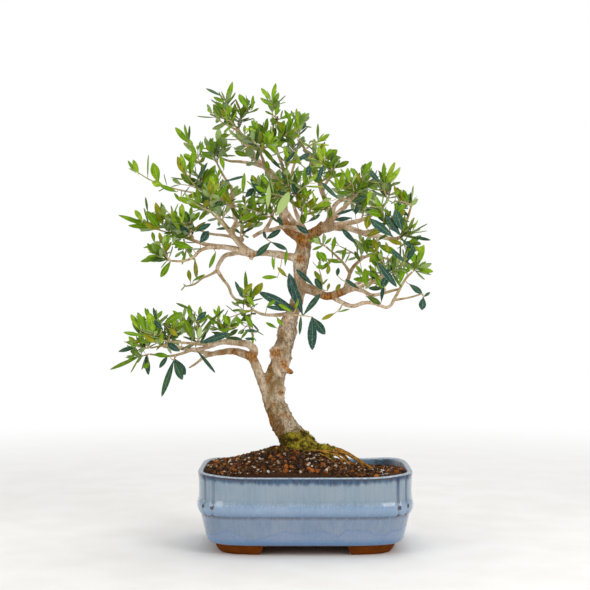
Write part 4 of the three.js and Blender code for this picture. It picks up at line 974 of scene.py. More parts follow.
# The points of each route, then its radius at the start and at the end.
BRANCHES = {
    "fork_left": [[[0, 303], [-9, 309], [-17, 315], [-22, 322], [-21, 330]], 7.2, 4.2],
    "fork_right": [[[0, 303], [7, 308], [14, 313], [19, 319]], 7, 4.4],
    "leader": [[[-21, 327], [-24, 337], [-27, 351, 2], [-30, 364, 2], [-38, 374, 1], [-47, 382],
        [-53, 392, -1], [-58, 402, -1], [-66, 411], [-75, 416, 2]], 4.6, 1.1],
    "leader_side": [[[-40, 376, 1], [-52, 379, 8], [-65, 381, 18], [-77, 382, 28], [-90, 388, 34]], 2, 0.9],
    "leader_front": [[[-40, 376, 1], [-42, 383, -12], [-44, 389, -24], [-44, 394, -34]], 1.8, 0.9],
    "middle": [[[-21, 328], [-20, 340, -4], [-19, 352, -7], [-20, 364, -9], [-23, 378, -10], [-28, 392, -8],
        [-31, 406, -4], [-32, 420, 0]], 2.9, 0.9],
    "middle_back": [[[-20, 352, -7], [-15, 362, 8], [-12, 374, 24], [-8, 386, 38]], 2, 0.9],
    "right_leader": [[[21, 314], [25, 328, 3], [21, 341, 6], [16, 354, 7], [13, 367, 6], [7, 381, 4],
        [0, 393, 2], [-6, 404, 2]], 3.4, 1],
    "right_leader_front": [[[17, 352, 7], [20, 358, -8], [24, 364, -22], [27, 370, -32]], 1.8, 0.9],
    "right_main": [[[16, 314], [24, 315], [33, 317]], 4.8, 3.8],
    "right_up": [[[25, 316], [27, 330, -6], [31, 339, -9], [38, 343, -12], [47, 345, -14]], 3.1, 1.4],
    "right_up_back": [[[26, 322], [36, 332, 18], [47, 343, 34], [57, 353, 46]], 2.6, 1],
    "right_high": [[[31, 317], [45, 320, 6], [57, 323, 10], [70, 330, 14], [82, 341, 16]], 3, 1],
    "right_out": [[[31, 316], [45, 314, -4], [54, 311, -6], [65, 308, -8], [76, 306, -8], [87, 304, -6],
        [95, 306, -4], [99, 316, -2], [103, 327], [106, 337]], 3.2, 1],
    "right_out_front": [[[50, 313, -5], [58, 311, -20], [68, 313, -34], [78, 318, -46]], 2, 0.9],
    "back": [[[0, 304, 3], [-8, 316, 22], [-17, 329, 40], [-24, 343, 56]], 4.2, 1.4],
    "back_right": [[[12, 310, 3], [22, 321, 26], [33, 331, 46], [42, 339, 64]], 3.2, 1.1],
    "front": [[[2, 306, -4], [-3, 317, -22], [-9, 330, -38], [-13, 344, -52]], 3.6, 1.2],
    "cream_twig": [[[-1, 312, -13], [-20, 316, -13], [-33, 313, -14], [-43, 311, -14], [-52, 306, -14]],
        2.3, 1.8],
    "cream_up": [[[-40, 312, -14], [-35, 321, -16], [-32, 329, -18], [-35, 338, -22]], 1.8, 1],
    "left_mid": [[[-4, 284], [-15, 286, -1], [-30, 289, -3], [-43, 290, -4], [-55, 288, -4]], 4.3, 2.8],
    "left_rise": [[[-52, 289, -4], [-61, 295, -4], [-69, 303, -3], [-72, 313, -1], [-69, 322], [-72, 333],
        [-84, 342, -2], [-98, 347, -4], [-112, 350, -6]], 2.8, 1],
    "left_high": [[[-80, 340, -1], [-90, 353, 5], [-98, 365, 10], [-103, 378, 12]], 1.6, 0.9],
    "left_top": [[[-70, 326], [-72, 341, 10], [-74, 355, 18], [-82, 368, 22], [-88, 380, 22]], 1.8, 0.9],
    "left_out": [[[-56, 290, -4], [-75, 295, -8], [-90, 297, -10], [-101, 299, -12], [-113, 303, -12],
        [-127, 308, -10]], 3, 1.1],
    "left_drop": [[[-85, 296, -10], [-98, 295, -16], [-105, 292, -20], [-111, 286, -24], [-121, 282, -28],
        [-133, 282, -30]], 2.1, 1],
    "left_back": [[[-50, 289, -4], [-60, 296, 12], [-70, 307, 30], [-82, 322, 46]], 2.2, 1.1],
    "left_back_out": [[[-62, 303, 20], [-78, 307, 30], [-98, 310, 38], [-115, 318, 40]], 1.8, 0.9],
    "left_front": [[[-60, 292, -5], [-70, 303, -22], [-80, 316, -38], [-94, 331, -50]], 1.9, 0.9],
    "arch": [[[-53, 288, -4], [-65, 290, 6], [-73, 289, 10], [-80, 287, 12], [-84, 282, 13], [-87, 276, 13],
        [-88, 271, 13]], 2.5, 1.9],
    "arch_left": [[[-88, 272, 13], [-95, 268, 12], [-102, 265, 10], [-110, 259, 8], [-117, 257, 6]],
        1.4, 0.8],
    "arch_drop": [[[-88, 273, 13], [-82, 264, 14], [-76, 256, 16], [-73, 248, 17], [-67, 242, 18],
        [-60, 239, 18]], 1.7, 1.1],
    "trunk_twig": [[[-12, 230, -3], [-30, 228, -9], [-43, 229, -11], [-52, 233, -12]], 2, 1.1],
    "low_left": [[[-34, 142, 1], [-39.2, 153], [-43, 163], [-47, 173], [-51, 182], [-54.5, 188]], 5.6, 4.3],
    "low_upper": [[[-53, 185], [-51, 193, -2], [-55, 198, -4], [-63, 200, -6], [-72, 201, -8],
        [-83, 201, -10], [-92, 198, -12], [-101, 195, -12], [-115, 194, -12], [-135, 198, -12],
        [-155, 195, -12]], 4.6, 1],
    "low_lower": [[[-55, 187], [-63, 190, 4], [-72, 192, 8], [-83, 191, 12], [-93, 189, 15], [-101, 186, 16],
        [-107, 181, 16], [-116, 175, 15]], 4.5, 1],
    "low_back": [[[-93, 189, 15], [-107, 192, 24], [-122, 194, 30], [-140, 196, 34]], 2.1, 0.9],
    "low_front": [[[-92, 198, -12], [-104, 199, -24], [-118, 200, -34], [-136, 202, -40]], 2, 0.9],
    "low_tip": [[[-112, 194, -12], [-125, 189, -7], [-138, 187, -4], [-155, 189, -3]], 1.5, 0.9],
    "right_low": [[[-4, 256], [7, 253, -1], [14, 250, -2], [21, 247, -3], [35, 250, -4], [45, 254, -4],
        [51, 255, -4]], 5.4, 3],
    "right_low_out": [[[50, 255, -4], [58, 252, -5], [66, 248, -6], [75, 249, -6], [86, 252, -5],
        [94, 254, -4]], 2.2, 1.1],
    "right_low_arch": [[[27, 247, -4], [38, 240, -10], [48, 237, -12], [58, 240, -12], [68, 240, -11],
        [76, 237, -10], [83, 236, -9], [90, 246, -8], [96, 257, -8], [101, 265, -8], [107, 271, -8]],
        2.3, 1],
    "right_low_end": [[[88, 243, -9], [96, 244, -12], [106, 246, -14], [116, 249, -15]], 1.2, 0.8],
    "right_low_back": [[[33, 250, -3], [44, 256, 16], [57, 261, 32], [72, 266, 44]], 2.6, 1],
    "right_low_front": [[[42, 253, -5], [52, 255, -22], [64, 260, -36], [78, 266, -46]], 2.3, 1],
    "right_low_up": [[[40, 253, -4], [43, 264, 2], [47, 274, 5], [53, 281, 7], [60, 286, 8], [70, 287, 9],
        [82, 284, 10], [92, 282, 10]], 2.1, 1],
    "right_low_in": [[[45, 270, 4], [38, 280, -4], [29, 289, -8], [21, 296, -10]], 1.4, 0.9],
}
ROOTS = {
    "root_right": [[[3, 95], [18, 96, -4], [30, 94.4, -7], [41, 90.6, -10], [52, 84, -14], [63, 77.2, -20],
        [74, 70, -26]], 2.9, 1.1],
    "root_right_low": [[[16, 94, -6], [24, 88, -14], [31, 82, -22], [37, 76, -30], [44, 68, -36]], 2.2, 1.1],
    "root_right_thin": [[[32, 93, -6], [40, 87, -2], [46, 80, 2], [54, 72, 6]], 1.5, 1],
    "root_left": [[[-14, 94], [-28, 88, -8], [-42, 78, -14], [-54, 66, -18]], 7, 2],
    "root_back": [[[-6, 92, 6], [-2, 86, 22], [4, 76, 36], [10, 64, 46]], 7, 2],
    "root_front": [[[-8, 90, -4], [-14, 84, -20], [-20, 74, -32], [-24, 62, -42]], 6.5, 2],
}
STUBS = {
    "knob": [[[-24, 191, -6], [-34, 189, -9]], 5.6, 3.4],
    "pruned_stub": [[[-24, 178, -7], [-18, 173, -9], [-13, 170, -9]], 4.6, 2],
    "small_burl": [[[-27, 154, -3], [-20, 153, -4]], 6.5, 3.6],
    "nub": [[[-53, 288, -4], [-54, 283, -5]], 2.8, 1.9],
}

EYE_X, EYE_Z, EYE_DISTANCE = -10, 248, 1314
UP = Vector((0, 0, 1))


def seen(spot):
    """The real place of a point that is drawn as x, z and y on the front elevation."""
    x, z, y = (*spot, 0)[:3]
    spread = 1 + y / EYE_DISTANCE
    return Vector((POT.x + EYE_X + (x - EYE_X) * spread, POT.y + y, EYE_Z + (z - EYE_Z) * spread))


def elevation(place):
    """Where a real place is on the front elevation, and its y."""
    y = place.y - POT.y
    spread = 1 + y / EYE_DISTANCE
    return EYE_X + (place.x - POT.x - EYE_X) / spread, EYE_Z + (place.z - EYE_Z) / spread, y


def route(data):
    """A route's points and its radius at each."""
    spots, first, last = data
    points = [seen(spot) for spot in spots]
    return points, [first + (last - first) * i / (len(points) - 1) for i in range(len(points))]


trunk = ([seen(row[:3]) for row in TRUNK], [row[3] for row in TRUNK])
branches = {name: route(data) for name, data in BRANCHES.items()}
roots = {name: route(data) for name, data in ROOTS.items()}
stubs = {name: route(data) for name, data in STUBS.items()}
print("limbs:", 1 + len(branches) + len(roots) + len(stubs))

# %% [markdown]
# ## The wood
#
# Each limb is a curve with a thickness. The heavy ones are turned into one skin by a voxel remesh, as if
# wax was run over the joints, then smoothed and roughened into bark. Limbs as thin as a match would lose
# their shape in voxels, so they stay smooth tubes and are joined on, each a little thicker where it leaves
# its parent.


# %% Grow the limbs
def add_limbs(name, routes, steps, roundness):
    """Curves of so many steps between points, made into tubes."""
    take()
    bpy.ops.curve.primitive_bezier_curve_add()
    piece = start(name)
    curve = piece.data
    curve.splines.clear()
    curve.dimensions = "3D"
    curve.bevel_depth = MM
    curve.bevel_resolution = roundness
    curve.use_fill_caps = True
    curve.resolution_u = steps
    for points, radii in routes:
        spline = curve.splines.new("BEZIER")
        spline.bezier_points.add(len(points) - 1)
        for knot, spot, radius in zip(spline.bezier_points, points, radii):
            knot.co = spot * MM
            knot.radius = radius
            knot.handle_left_type = knot.handle_right_type = "AUTO"
    bpy.ops.object.convert(target="MESH")
    return bpy.context.object


HEAVY = 2.4
VOXEL = 0.8
others = [*branches.values(), *roots.values()]
heavy = [trunk, *stubs.values(), *(limb for limb in others if (limb[1][0] + limb[1][-1]) / 2 >= HEAVY)]
thin = [limb for limb in others if (limb[1][0] + limb[1][-1]) / 2 < HEAVY]
wood = add_limbs("olive_wood", heavy, 6, 6)
finish_with(wood, "REMESH", mode="VOXEL", voxel_size=VOXEL * MM)
finish_with(wood, "SMOOTH", factor=0.5, iterations=6)
collared = [(points, [radii[0] * 1.3, *radii[1:]]) for points, radii in thin]
twigs = add_limbs("twigs", collared, 8, 3)
print("heavy limbs:", len(heavy), "thin limbs:", len(thin), "skin faces:", len(wood.data.polygons))
take(wood, twigs)
bpy.ops.object.join()
outward(wood)

# %% [markdown]
# ### Bark relief
#
# Every point of the skin looks up the limb it belongs to, so that thick old wood can be rougher than a
# twig. The pruning scars, the hole above the knob and the sunken line up the trunk are pressed in or raised
# one by one.

# %% Scars and pressed lines
SCARS = (
    # x, z, y, radius: where a branch was pruned or a burl grew. The bark is orange there, or dark with a 2.
    (-29, 190, -13, 6.5), (-20, 180, -12, 5.5), (-15, 172, -13, 5), (-15, 315, -3, 12), (8, 311, -4, 13),
    (-2, 303, -8, 9), (-4, 284, -6, 4.5), (22, 246, -6, 8), (-35, 163, -4, 5), (-53, 288, -4, 4),
    (-55, 187, -3, 7), (2, 268, -5, 4), (-43, 152, 1, 6), (-41, 139, 0, 6.5), (-36, 124, -1, 6.5),
    (-49, 168, 0, 4), (-70, 190, 6, 5), (-24, 150, -8, 3), (-12, 262, -3, 3), (-10, 214, -5, 3),
    (-5, 243, -5, 3), (35, 249, -6, 5), (-30, 189, -14, 2.8, 2), (-13, 169, -11, 3, 2),
)
PRESSED = (
    # from (x, z, y), to (x, z, y), width, depth: above 0 is raised
    ((-28, 190, -10), (-29, 188, -10), 1.7, -3.4),
    ((-29, 184, -9), (-13, 171, -9), 1.3, 1.3),
    ((-27, 181, -9), (-15, 169, -9), 0.9, -1.1),
    ((-24, 144, -12), (-33, 122, -10), 1.1, -1.3),
    ((-27, 150, -11), (-18, 158, -11), 1.2, -1),
    ((-30, 168, -10), (-26, 180, -10), 1.2, -0.9),
    ((-16, 112, -12), (-26, 128, -11), 1.6, 0.9),
    ((-7, 250, -7), (-5, 275, -7), 1.1, -0.7),
    ((-34, 193, -9), (-26, 195, -9), 1.8, 2), ((-34, 186, -9), (-27, 184, -9), 1.6, 1.8),
    ((-33, 188, -9), (-31, 194, -9), 1.2, 1.6), ((-24, 192, -10), (-22, 184, -10), 1.4, 1.6),
    ((-14, 311, -8), (-8, 315, -9), 2.6, 1.8), ((6, 307, -8), (12, 313, -8), 2.4, 1.7),
    ((-5, 300, -8), (3, 302, -8), 2.2, 1.4), ((-46, 160, -5), (-42, 150, -6), 1.6, 1.1),
    ((-32, 164, -9), (-36, 160, -9), 2, 1.2), ((-12, 246, -6), (-10, 252, -6), 1.4, 1.1),
    ((-20, 148, -8), (-19, 156, -8), 2.2, 1.3), ((-38, 136, -8), (-36, 124, -9), 2, 1.2),
)
print("scars:", len(SCARS), "pressed lines:", len(PRESSED))


# %% Guides for the bark
def limb_guide(limbs):
    """Sample places along every limb, with the limb's radius there."""
    spots, radii = [], []
    for points, sizes in limbs:
        for (a, b), (first, last) in zip(zip(points, points[1:]), zip(sizes, sizes[1:])):
            count = max(2, int((b - a).length))
            for i in range(count):
                spots.append(a.lerp(b, i / count))
                radii.append(first + (last - first) * i / count)
    tree = kdtree.KDTree(len(spots))
    for i, spot in enumerate(spots):
        tree.insert(spot, i)
    tree.balance()
    return tree, radii


MOSS_TOP, MOSS_REACH = 113, 36


def moss_edge(flat):
    """How high the moss reaches: lower on the dry left side and towards the roots."""
    x = flat[:, 0]
    return MOSS_TOP - np.where(x < -2, 9 * (1 - ease(x, -30, -16)), 0.42 * (x + 2))


def near_line(rows, first, last):
    """How far each row is from the line between two drawn places."""
    a, b = np.array(seen(first)), np.array(seen(last))
    part = np.clip((rows - a) @ (b - a) / max((b - a) @ (b - a), 1e-9), 0, 1)
    return np.linalg.norm(rows - (a + part[:, None] * (b - a)), axis=1)


guide, guide_radii = limb_guide([trunk, *others, *stubs.values()])
print("guide places:", len(guide_radii))

# %% Roughen the bark
rows = places_of(wood)
nearest = [guide.find(Vector(row)) for row in rows]
girth = np.array([guide_radii[index] for _, index, _ in nearest])
to_left = (np.array([spot.x for spot, _, _ in nearest]) - rows[:, 0]) / girth
normals = normals_of(wood)
amount = np.clip(girth / 9, 0.06, 1)
lift = amount * (0.75 * rough(rows * (1, 1, 0.55), 6, 2) + 0.45 * rough(rows * (1, 1, 0.7), 1.9, 8))
warts = np.clip(rough(rows, 4.2, 15, 1) - 0.3, 0, 1) * 2.4
lift += amount * warts
for first, last, width, depth in PRESSED:
    lift += depth * np.exp(-(near_line(rows, first, last) / width) ** 2)
rows += normals * lift[:, None]
move_to(wood, rows)
print("bark moved by up to", round(float(np.abs(lift).max()), 2), "mm")

# %% Masks for scars, moss and stains
scar = np.zeros(len(rows))
for x, z, y, radius, *dark in SCARS:
    away = np.linalg.norm(rows - np.array(seen((x, z, y))), axis=1) + 1.6 * rough(rows, 3, 4, 2)
    scar = np.maximum(scar, (1 - ease(away, radius * 0.55, radius * 1.25)) * (2 if dark else 1))
flat = rows - np.array(POT)
ragged = rough(rows, 5, 21, 2)
moss_top = moss_edge(flat) + 3.5 * ragged
on_root = (girth < 8) & (flat[:, 0] > 30)
mossy = ease(moss_top - flat[:, 2], -1.5, 3) * np.where(on_root, 0, 1)
is_root = np.where(on_root & (flat[:, 2] < 100), 1, 0)
low_and_thick = (1 - ease(flat[:, 2], 168, 205)) * ease(girth, 5, 9)
stain = ease(to_left + 0.35 * rough(rows, 6, 12, 2), -0.1, 0.55) * low_and_thick
masks = {"girth": girth, "scar": scar, "moss": mossy, "root": is_root, "stain": stain}
for name, values in masks.items():
    store(wood, name, values)
smooth(wood)
print("wood:", len(wood.data.polygons), "faces, mossy share", round(float(mossy.mean()), 3))

# %% [markdown]
# ### Bark
#
# Olive bark is a warm grey with darker cracks, small corky freckles and orange patches where it flaked or
# was pruned. Young wood is paler, with a green cast at the tips. The stored girth carries the colour from
# trunk to twig, and the moss mask turns the foot of the trunk green.

# %% Bark finish
finish, tree, shader, here = new_finish("olive_bark", 0.82, specular=0.3)
tall = place(tree, (1, 1, 0.5))
girth_here, scar_here, moss_here = read(tree, "girth"), read(tree, "scar"), read(tree, "moss")
patches = mottled(tall, 7.5, 5, 0.36, 0.64)
fine = mottled(tall, 1.5, 4, 0.32, 0.68)
flakes = mottled(here, 11, 5, 0.56, 0.66)
corky = freckled(place(tree, (0.6, 0.6, 1.3)), 2.6, 0.3, 0.5)
veins = step(tree, "ShaderNodeTexNoise", None, Vector=tall, Scale=210, Detail=3, Roughness=0.6).outputs[0]
split = fade(calc("ABSOLUTE", calc("SUBTRACT", veins, 0.5)), 0.035, 0.008)
split = times(split, fade(girth_here, 4, 9))

# Painted light: the old bark turns paler from 190 to 240 mm up, standing in for light where the crown shades
# the upper trunk.
lit_upper_trunk = fade(step(tree, "ShaderNodeSeparateXYZ", None, Vector=here).outputs[2], 0.19, 0.24)
old_dark = mix(lit_upper_trunk, (146, 122, 84), (190, 160, 128))
old = mix(patches, old_dark, mix(lit_upper_trunk, (206, 190, 162), (238, 216, 190)))
young = mix(patches, (196, 162, 126), (236, 214, 188))
tip = mix(patches, (176, 156, 100), (204, 182, 140))
colour = mix(fade(girth_here, 6.5, 3), old, young)
colour = mix(fade(girth_here, 1.9, 1), colour, tip)
colour = coats(
    colour,
    (fine, 0.42, (116, 86, 52)),
    (flakes, 0.6, (158, 104, 40)),
    (corky, 0.6, (92, 62, 30)),
    (split, 0.6, (98, 66, 36)),
    (read(tree, "stain"), 0.82, mix(fine, (164, 116, 48), (94, 58, 20))),
)
orange = times(scar_here, fade(patches, 0, 0.7, 1, 0.82))
colour = mix(orange, colour, mix(fine, (190, 122, 32), (104, 60, 12)))
colour = mix(fade(scar_here, 1.2, 1.8), colour, mix(fine, (96, 62, 34), (44, 28, 16)))
colour = mix(read(tree, "root"), colour, mix(fine, (180, 130, 46), (112, 74, 22)))
green = mix(patches, (104, 96, 16), (166, 146, 40))
green = coats(green, (fine, 0.5, (74, 60, 18)))
colour = mix(moss_here, colour, green)
height = calc("ADD", times(fine, 0.6), times(corky, 0.5))
height = calc("SUBTRACT", height, times(split, 0.6))
height = times(height, fade(girth_here, 0.5, 7, 0.25, 1))
lay_on(shader, colour, height, 0.8)
wear(wood, finish)
settle(wood, "bark", "wood")

# %% [markdown]
# ### Exposed roots
#
# Watering has washed the soil from the right of the trunk, and thin yellow-brown roots fan down from the
# thick one there. They are routes like the limbs, in the round with x, z and y, and their ends dip into the
# soil.

# %% Exposed roots
FINE_ROOTS = (
    ([(6, 93, -12), (20, 93, -14), (34, 91, -17), (47, 86, -20), (58, 79, -24)], 1, 0.6),
    ([(14, 93, -12), (26, 90, -18), (36, 85, -23), (43, 80, -28), (46, 76, -31)], 1.1, 0.6),
    ([(12, 90, -15), (20, 88, -22), (27, 83, -29), (31, 79, -33)], 0.9, 0.5),
    ([(28, 94, -10), (33, 88, -18), (37, 82, -25), (39, 78, -29)], 0.8, 0.5),
    ([(34, 92, -10), (43, 89, -13), (52, 83, -17), (60, 76, -20)], 0.9, 0.5),
    ([(22, 93, -11), (33, 89, -17), (40, 84, -22), (41, 79, -27)], 0.9, 0.5),
    ([(-22, 94, -8), (-30, 92, -14), (-38, 86, -20), (-44, 80, -26)], 0.8, 0.5),
    ([(-20, 93, 8), (-30, 90, 16), (-40, 83, 22)], 0.9, 0.5),
    ([(4, 92, 12), (12, 88, 22), (22, 81, 30)], 0.9, 0.5),
    ([(-10, 91, 14), (-16, 88, 24), (-24, 82, 34)], 0.8, 0.5),
)
fine_roots = add_limbs("fine_roots", [route(data) for data in FINE_ROOTS], 10, 2)
rows = places_of(fine_roots)
rows += normals_of(fine_roots) * (0.22 * rough(rows, 2.5, 6, 2))[:, None]
rows[:, 2] += 0.8 * rough(rows, 14, 3, 1)
move_to(fine_roots, rows)
smooth(fine_roots)
finish, tree, shader, here = new_finish("root_skin", 0.75, specular=0.3)
stain = mottled(here, 4, 4, 0.35, 0.65)
hair = mottled(here, 0.8, 3)
colour = mix(stain, (198, 148, 56), (138, 92, 28))
lay_on(shader, coats(colour, (hair, 0.4, (92, 58, 28))), hair, 0.2)
wear(fine_roots, finish)
settle(fine_roots, "bark")

# %% [markdown]
# ### Moss
#
# Moss grows as soft bumpy cushions over the foot of the trunk. Many small lumps are set on the mossy part
# of the skin and melted together by a voxel remesh, which gives the cushions their rounded edges. Then
# thousands of tiny pointed shoots stand on them, each a cone of four faces.

# %% Moss cushions
MOSS_CLUMPS = ((-33, -9, 7), (-26, -14, 6), (-34, 2, 6), (17, -13, 6), (-20, 15, 7), (2, 15, 6), (-30, 10, 6))


def surface_spots(piece, chance, draw, count):
    """Random places on a piece's faces, likelier where chance is high, with the way out of the surface."""
    middles = np.array([face.center for face in piece.data.polygons]) / MM
    ways = np.array([face.normal for face in piece.data.polygons])
    areas = np.array([face.area for face in piece.data.polygons])
    weight = areas * chance(middles, ways)
    picked = draw.choice(len(middles), count, p=weight / weight.sum())
    return middles[picked], ways[picked]


def is_mossy(middles, _):
    flat = middles - np.array(POT)
    top = moss_edge(flat) - 1 + 4.5 * rough(middles, 5, 21, 2)
    above_soil = flat[:, 2] > soil_height(flat[:, 0], flat[:, 1]) - 1.5
    near = (np.hypot(flat[:, 0] + 6, flat[:, 1]) < MOSS_REACH) & (flat[:, 0] < 30)
    return (near & (flat[:, 2] < top) & above_soil).astype(float)


MOSS_LUMPS, LUMPS_IN_CLUMP, MOSS_SHOOTS = 620, 26, 7000
draw = np.random.RandomState(51)
spots, ways = surface_spots(wood, is_mossy, draw, MOSS_LUMPS)
lump_spots = list(spots - ways * 0.5)
for x, y, spread in MOSS_CLUMPS:
    for _ in range(LUMPS_IN_CLUMP):
        dx, dy = draw.normal(0, spread * 0.5, 2)
        lump_spots.append(np.array(POT) + (x + dx, y + dy, soil_height(x + dx, y + dy)))
sizes = draw.uniform(0.9, 2.1, len(lump_spots))
balls = [form_of(knocked_ball(2, 0.9, 3.3))]
moss = copies_of("moss", balls, lump_spots, sizes, draw)
finish_with(moss, "REMESH", mode="VOXEL", voxel_size=0.6 * MM)
finish_with(moss, "SMOOTH", factor=0.5, iterations=2)
rows = places_of(moss)
rows += normals_of(moss) * (0.5 * rough(rows, 1.6, 2) + 0.3 * rough(rows, 4.5, 9))[:, None]
move_to(moss, rows)
smooth(moss)
print("moss cushions:", len(moss.data.polygons), "faces")

# %% Moss shoots
take()
bpy.ops.mesh.primitive_cone_add(vertices=3, radius1=0.3 * MM, depth=1.5 * MM)
shoot = start("shoot")
rows = places_of(shoot)
rows[:, 2] += 0.6
move_to(shoot, rows)
shoots = [form_of(shoot)]
spots, ways = surface_spots(moss, lambda middles, ways: (ways[:, 2] > -0.3) * 1, draw, MOSS_SHOOTS)
moss_shoots = copies_of("moss_shoots", shoots, spots, draw.uniform(0.6, 1.25, MOSS_SHOOTS), draw, 0.7, ways)


def darker_left_side(here):
    """1 on the left of the moss, where it is darker and browner, and 0 from the middle on."""
    across = step(here.id_data, "ShaderNodeSeparateXYZ", None, Vector=here).outputs[0]
    return fade(across, (POT.x - 12) * MM, (POT.x - 24) * MM)


finish, tree, shader, here = new_finish("moss_green", 0.9, specular=0.2)
cushions = mottled(here, 6, 4, 0.35, 0.65)
tufts = mottled(here, 0.9, 3)
colour = mix(cushions, (66, 54, 8), (200, 180, 50))
colour = coats(colour, (tufts, 0.45, (52, 38, 10)), (darker_left_side(here), 0.75, (58, 38, 14)))
lay_on(shader, colour, tufts, 0.6)
wear(moss, finish)
settle(moss, "bark")

finish, tree, shader, here = new_finish("moss_tips", 0.85, specular=0.2)
cushions = mottled(here, 6, 4, 0.35, 0.65)
tint = ramp(read(tree, "luck"), (0, (70, 58, 8)), (0.5, (156, 144, 30)), (1, (236, 222, 104)))
colour = mix(fade(cushions, 0.6, 0.2, 0, 0.85), tint, (80, 50, 14))
lay_on(shader, coats(colour, (darker_left_side(here), 0.75, (70, 46, 16))))
wear(moss_shoots, finish)
settle(moss_shoots, "bark")

# %% [markdown]
# ## How the leafy sprays grow
#
# An olive carries narrow leathery leaves in opposite pairs, each pair a quarter turn from the last, and
# side shoots rise where the leaves meet the stem. The sprays follow that rule with seeded draws. Each row
# names the limb that carries the spray, how far along it, and for each stem where its tip is, how many
# pairs it has and how long its longest leaves are.

# %% Rows of the sprays
SPRAYS = {
    "top": [
        ("leader", 1, (-79, 441, 2, 6, 18), (-93, 429, 8, 4, 17)),
        ("leader", 0.9, (-58, 436, -8, 6, 17), (-76, 426, -22, 4, 18)),
        ("middle", 1, (-33, 442, 0, 4, 16), (-24, 424, -12, 3, 17)),
        ("middle", 0.78, (-48, 412, -28, 5, 18), (-14, 412, -22, 5, 18)),
        ("middle_back", 1, (-18, 412, 42, 5, 17), (-38, 404, 54, 5, 17)),
        ("right_leader", 1, (-6, 422, 3, 5, 16)),
        ("right_leader", 0.86, (12, 401, -4, 3, 15)),
        ("right_leader", 0.7, (11, 393, 32, 5, 17), (25, 385, 8, 4, 17)),
        ("leader_side", 1, (-96, 396, 42, 4, 16), (-83, 402, 48, 4, 16)),
        ("leader_front", 1, (-54, 404, -42, 4, 17), (-34, 396, -42, 4, 18)),
    ],
    "left": [
        ("left_rise", 1, (-168, 371, -10, 2, 14)),
        ("left_high", 1, (-117, 401, 12, 3, 15), (-112, 384, -2, 3, 17)),
        ("left_top", 1, (-93, 392, 26, 4, 16), (-80, 393, 36, 4, 16)),
        ("left_rise", 0.86, (-119, 370, -30, 4, 19), (-103, 367, -22, 5, 18)),
        ("left_rise", 0.66, (-88, 359, -36, 5, 18)),
        ("left_out", 1, (-163, 321, -12, 4, 20), (-149, 331, -4, 5, 18)),
        ("left_out", 0.78, (-136, 330, -18, 5, 18), (-114, 324, -34, 5, 18)),
        ("left_drop", 1, (-149, 289, -34, 4, 18), (-142, 298, -42, 4, 18)),
        ("left_front", 1, (-112, 341, -72, 5, 18), (-92, 350, -70, 5, 18)),
        ("left_back", 1, (-98, 342, 70, 5, 18), (-72, 348, 76, 5, 18)),
        ("left_back_out", 1, (-136, 330, 50, 5, 17), (-128, 312, 58, 5, 17)),
        ("arch_left", 1, (-121, 259, 2, 2, 13)),
        ("arch_drop", 1, (-55, 246, 14, 4, 16)),
        ("trunk_twig", 1, (-56, 248, -18, 4, 16), (-74, 226, -12, 3, 15), (-53, 208, -21, 4, 15)),
    ],
    "middle": [
        ("cream_up", 1, (-50, 356, -34, 5, 18), (-26, 354, -46, 5, 18)),
        ("front", 1, (-18, 367, -72, 4, 18), (4, 360, -74, 5, 18), (-38, 350, -70, 4, 18)),
        ("front", 0.55, (18, 342, -60, 4, 17), (2, 346, -68, 4, 17)),
        ("back", 1, (-34, 364, 80, 5, 18), (-10, 360, 86, 5, 18)),
        ("cream_twig", 0.72, (-34, 301, -16, 0, 0)),
    ],
    "right": [
        ("right_leader_front", 1, (30, 377, -42, 3, 17), (14, 382, -50, 4, 17)),
        ("right_up", 1, (60, 365, -22, 5, 18), (45, 364, -30, 5, 17)),
        ("right_up_back", 1, (60, 366, 58, 4, 17), (73, 358, 54, 4, 17)),
        ("right_high", 1, (84, 364, 18, 5, 18), (71, 366, 8, 4, 17)),
        ("right_high", 0.5, (60, 345, -4, 5, 18)),
        ("right_out", 1, (104, 341, 2, 3, 16), (90, 342, -16, 4, 18)),
        ("right_out", 0.62, (107, 311, -14, 5, 18), (106, 297, -18, 4, 18)),
        ("right_out_front", 1, (91, 329, -62, 5, 18), (76, 336, -70, 5, 18)),
        ("right_out", 0.4, (72, 292, -24, 4, 18)),
        ("back_right", 1, (62, 343, 84, 5, 18), (42, 352, 88, 5, 18)),
    ],
    "low_right": [
        ("right_low_arch", 1, (112, 276, -8, 3, 18)),
        ("right_low_end", 1, (118, 246, -16, 0, 0)),
        ("right_low_up", 1, (104, 294, 14, 4, 18), (99, 276, 20, 4, 18)),
        ("right_low_up", 0.5, (57, 300, 18, 4, 16), (34, 297, 16, 4, 15)),
        ("right_low_in", 1, (12, 301, -12, 3, 14)),
        ("right_low_out", 0.7, (71, 271, -10, 4, 18), (58, 268, -18, 4, 17)),
        ("right_low_back", 1, (91, 279, 56, 5, 17)),
        ("right_low_front", 1, (92, 276, -58, 4, 18), (77, 283, -60, 4, 17)),
    ],
    "low_left": [
        ("low_upper", 1, (-163, 217, -14, 5, 19), (-149, 223, -8, 5, 19), (-170, 199, -16, 4, 17)),
        ("low_tip", 1, (-168, 186, -2, 4, 17)),
        ("low_upper", 0.72, (-122, 224, -6, 5, 19), (-106, 226, -16, 5, 17)),
        ("low_upper", 0.45, (-86, 224, -14, 4, 16), (-77, 216, -26, 4, 15)),
        ("low_back", 1, (-154, 211, 46, 5, 17), (-130, 214, 52, 5, 17)),
        ("low_front", 1, (-151, 210, -54, 5, 18), (-129, 216, -50, 5, 17)),
        ("low_tip", 0.42, (-131, 183, -12, 0, 0)),
    ],
    "trunk": [
        ("trunk", 0.66, (-8, 237, -15, 0, 0), (7, 226, -13, 0, 0)),
    ],
}

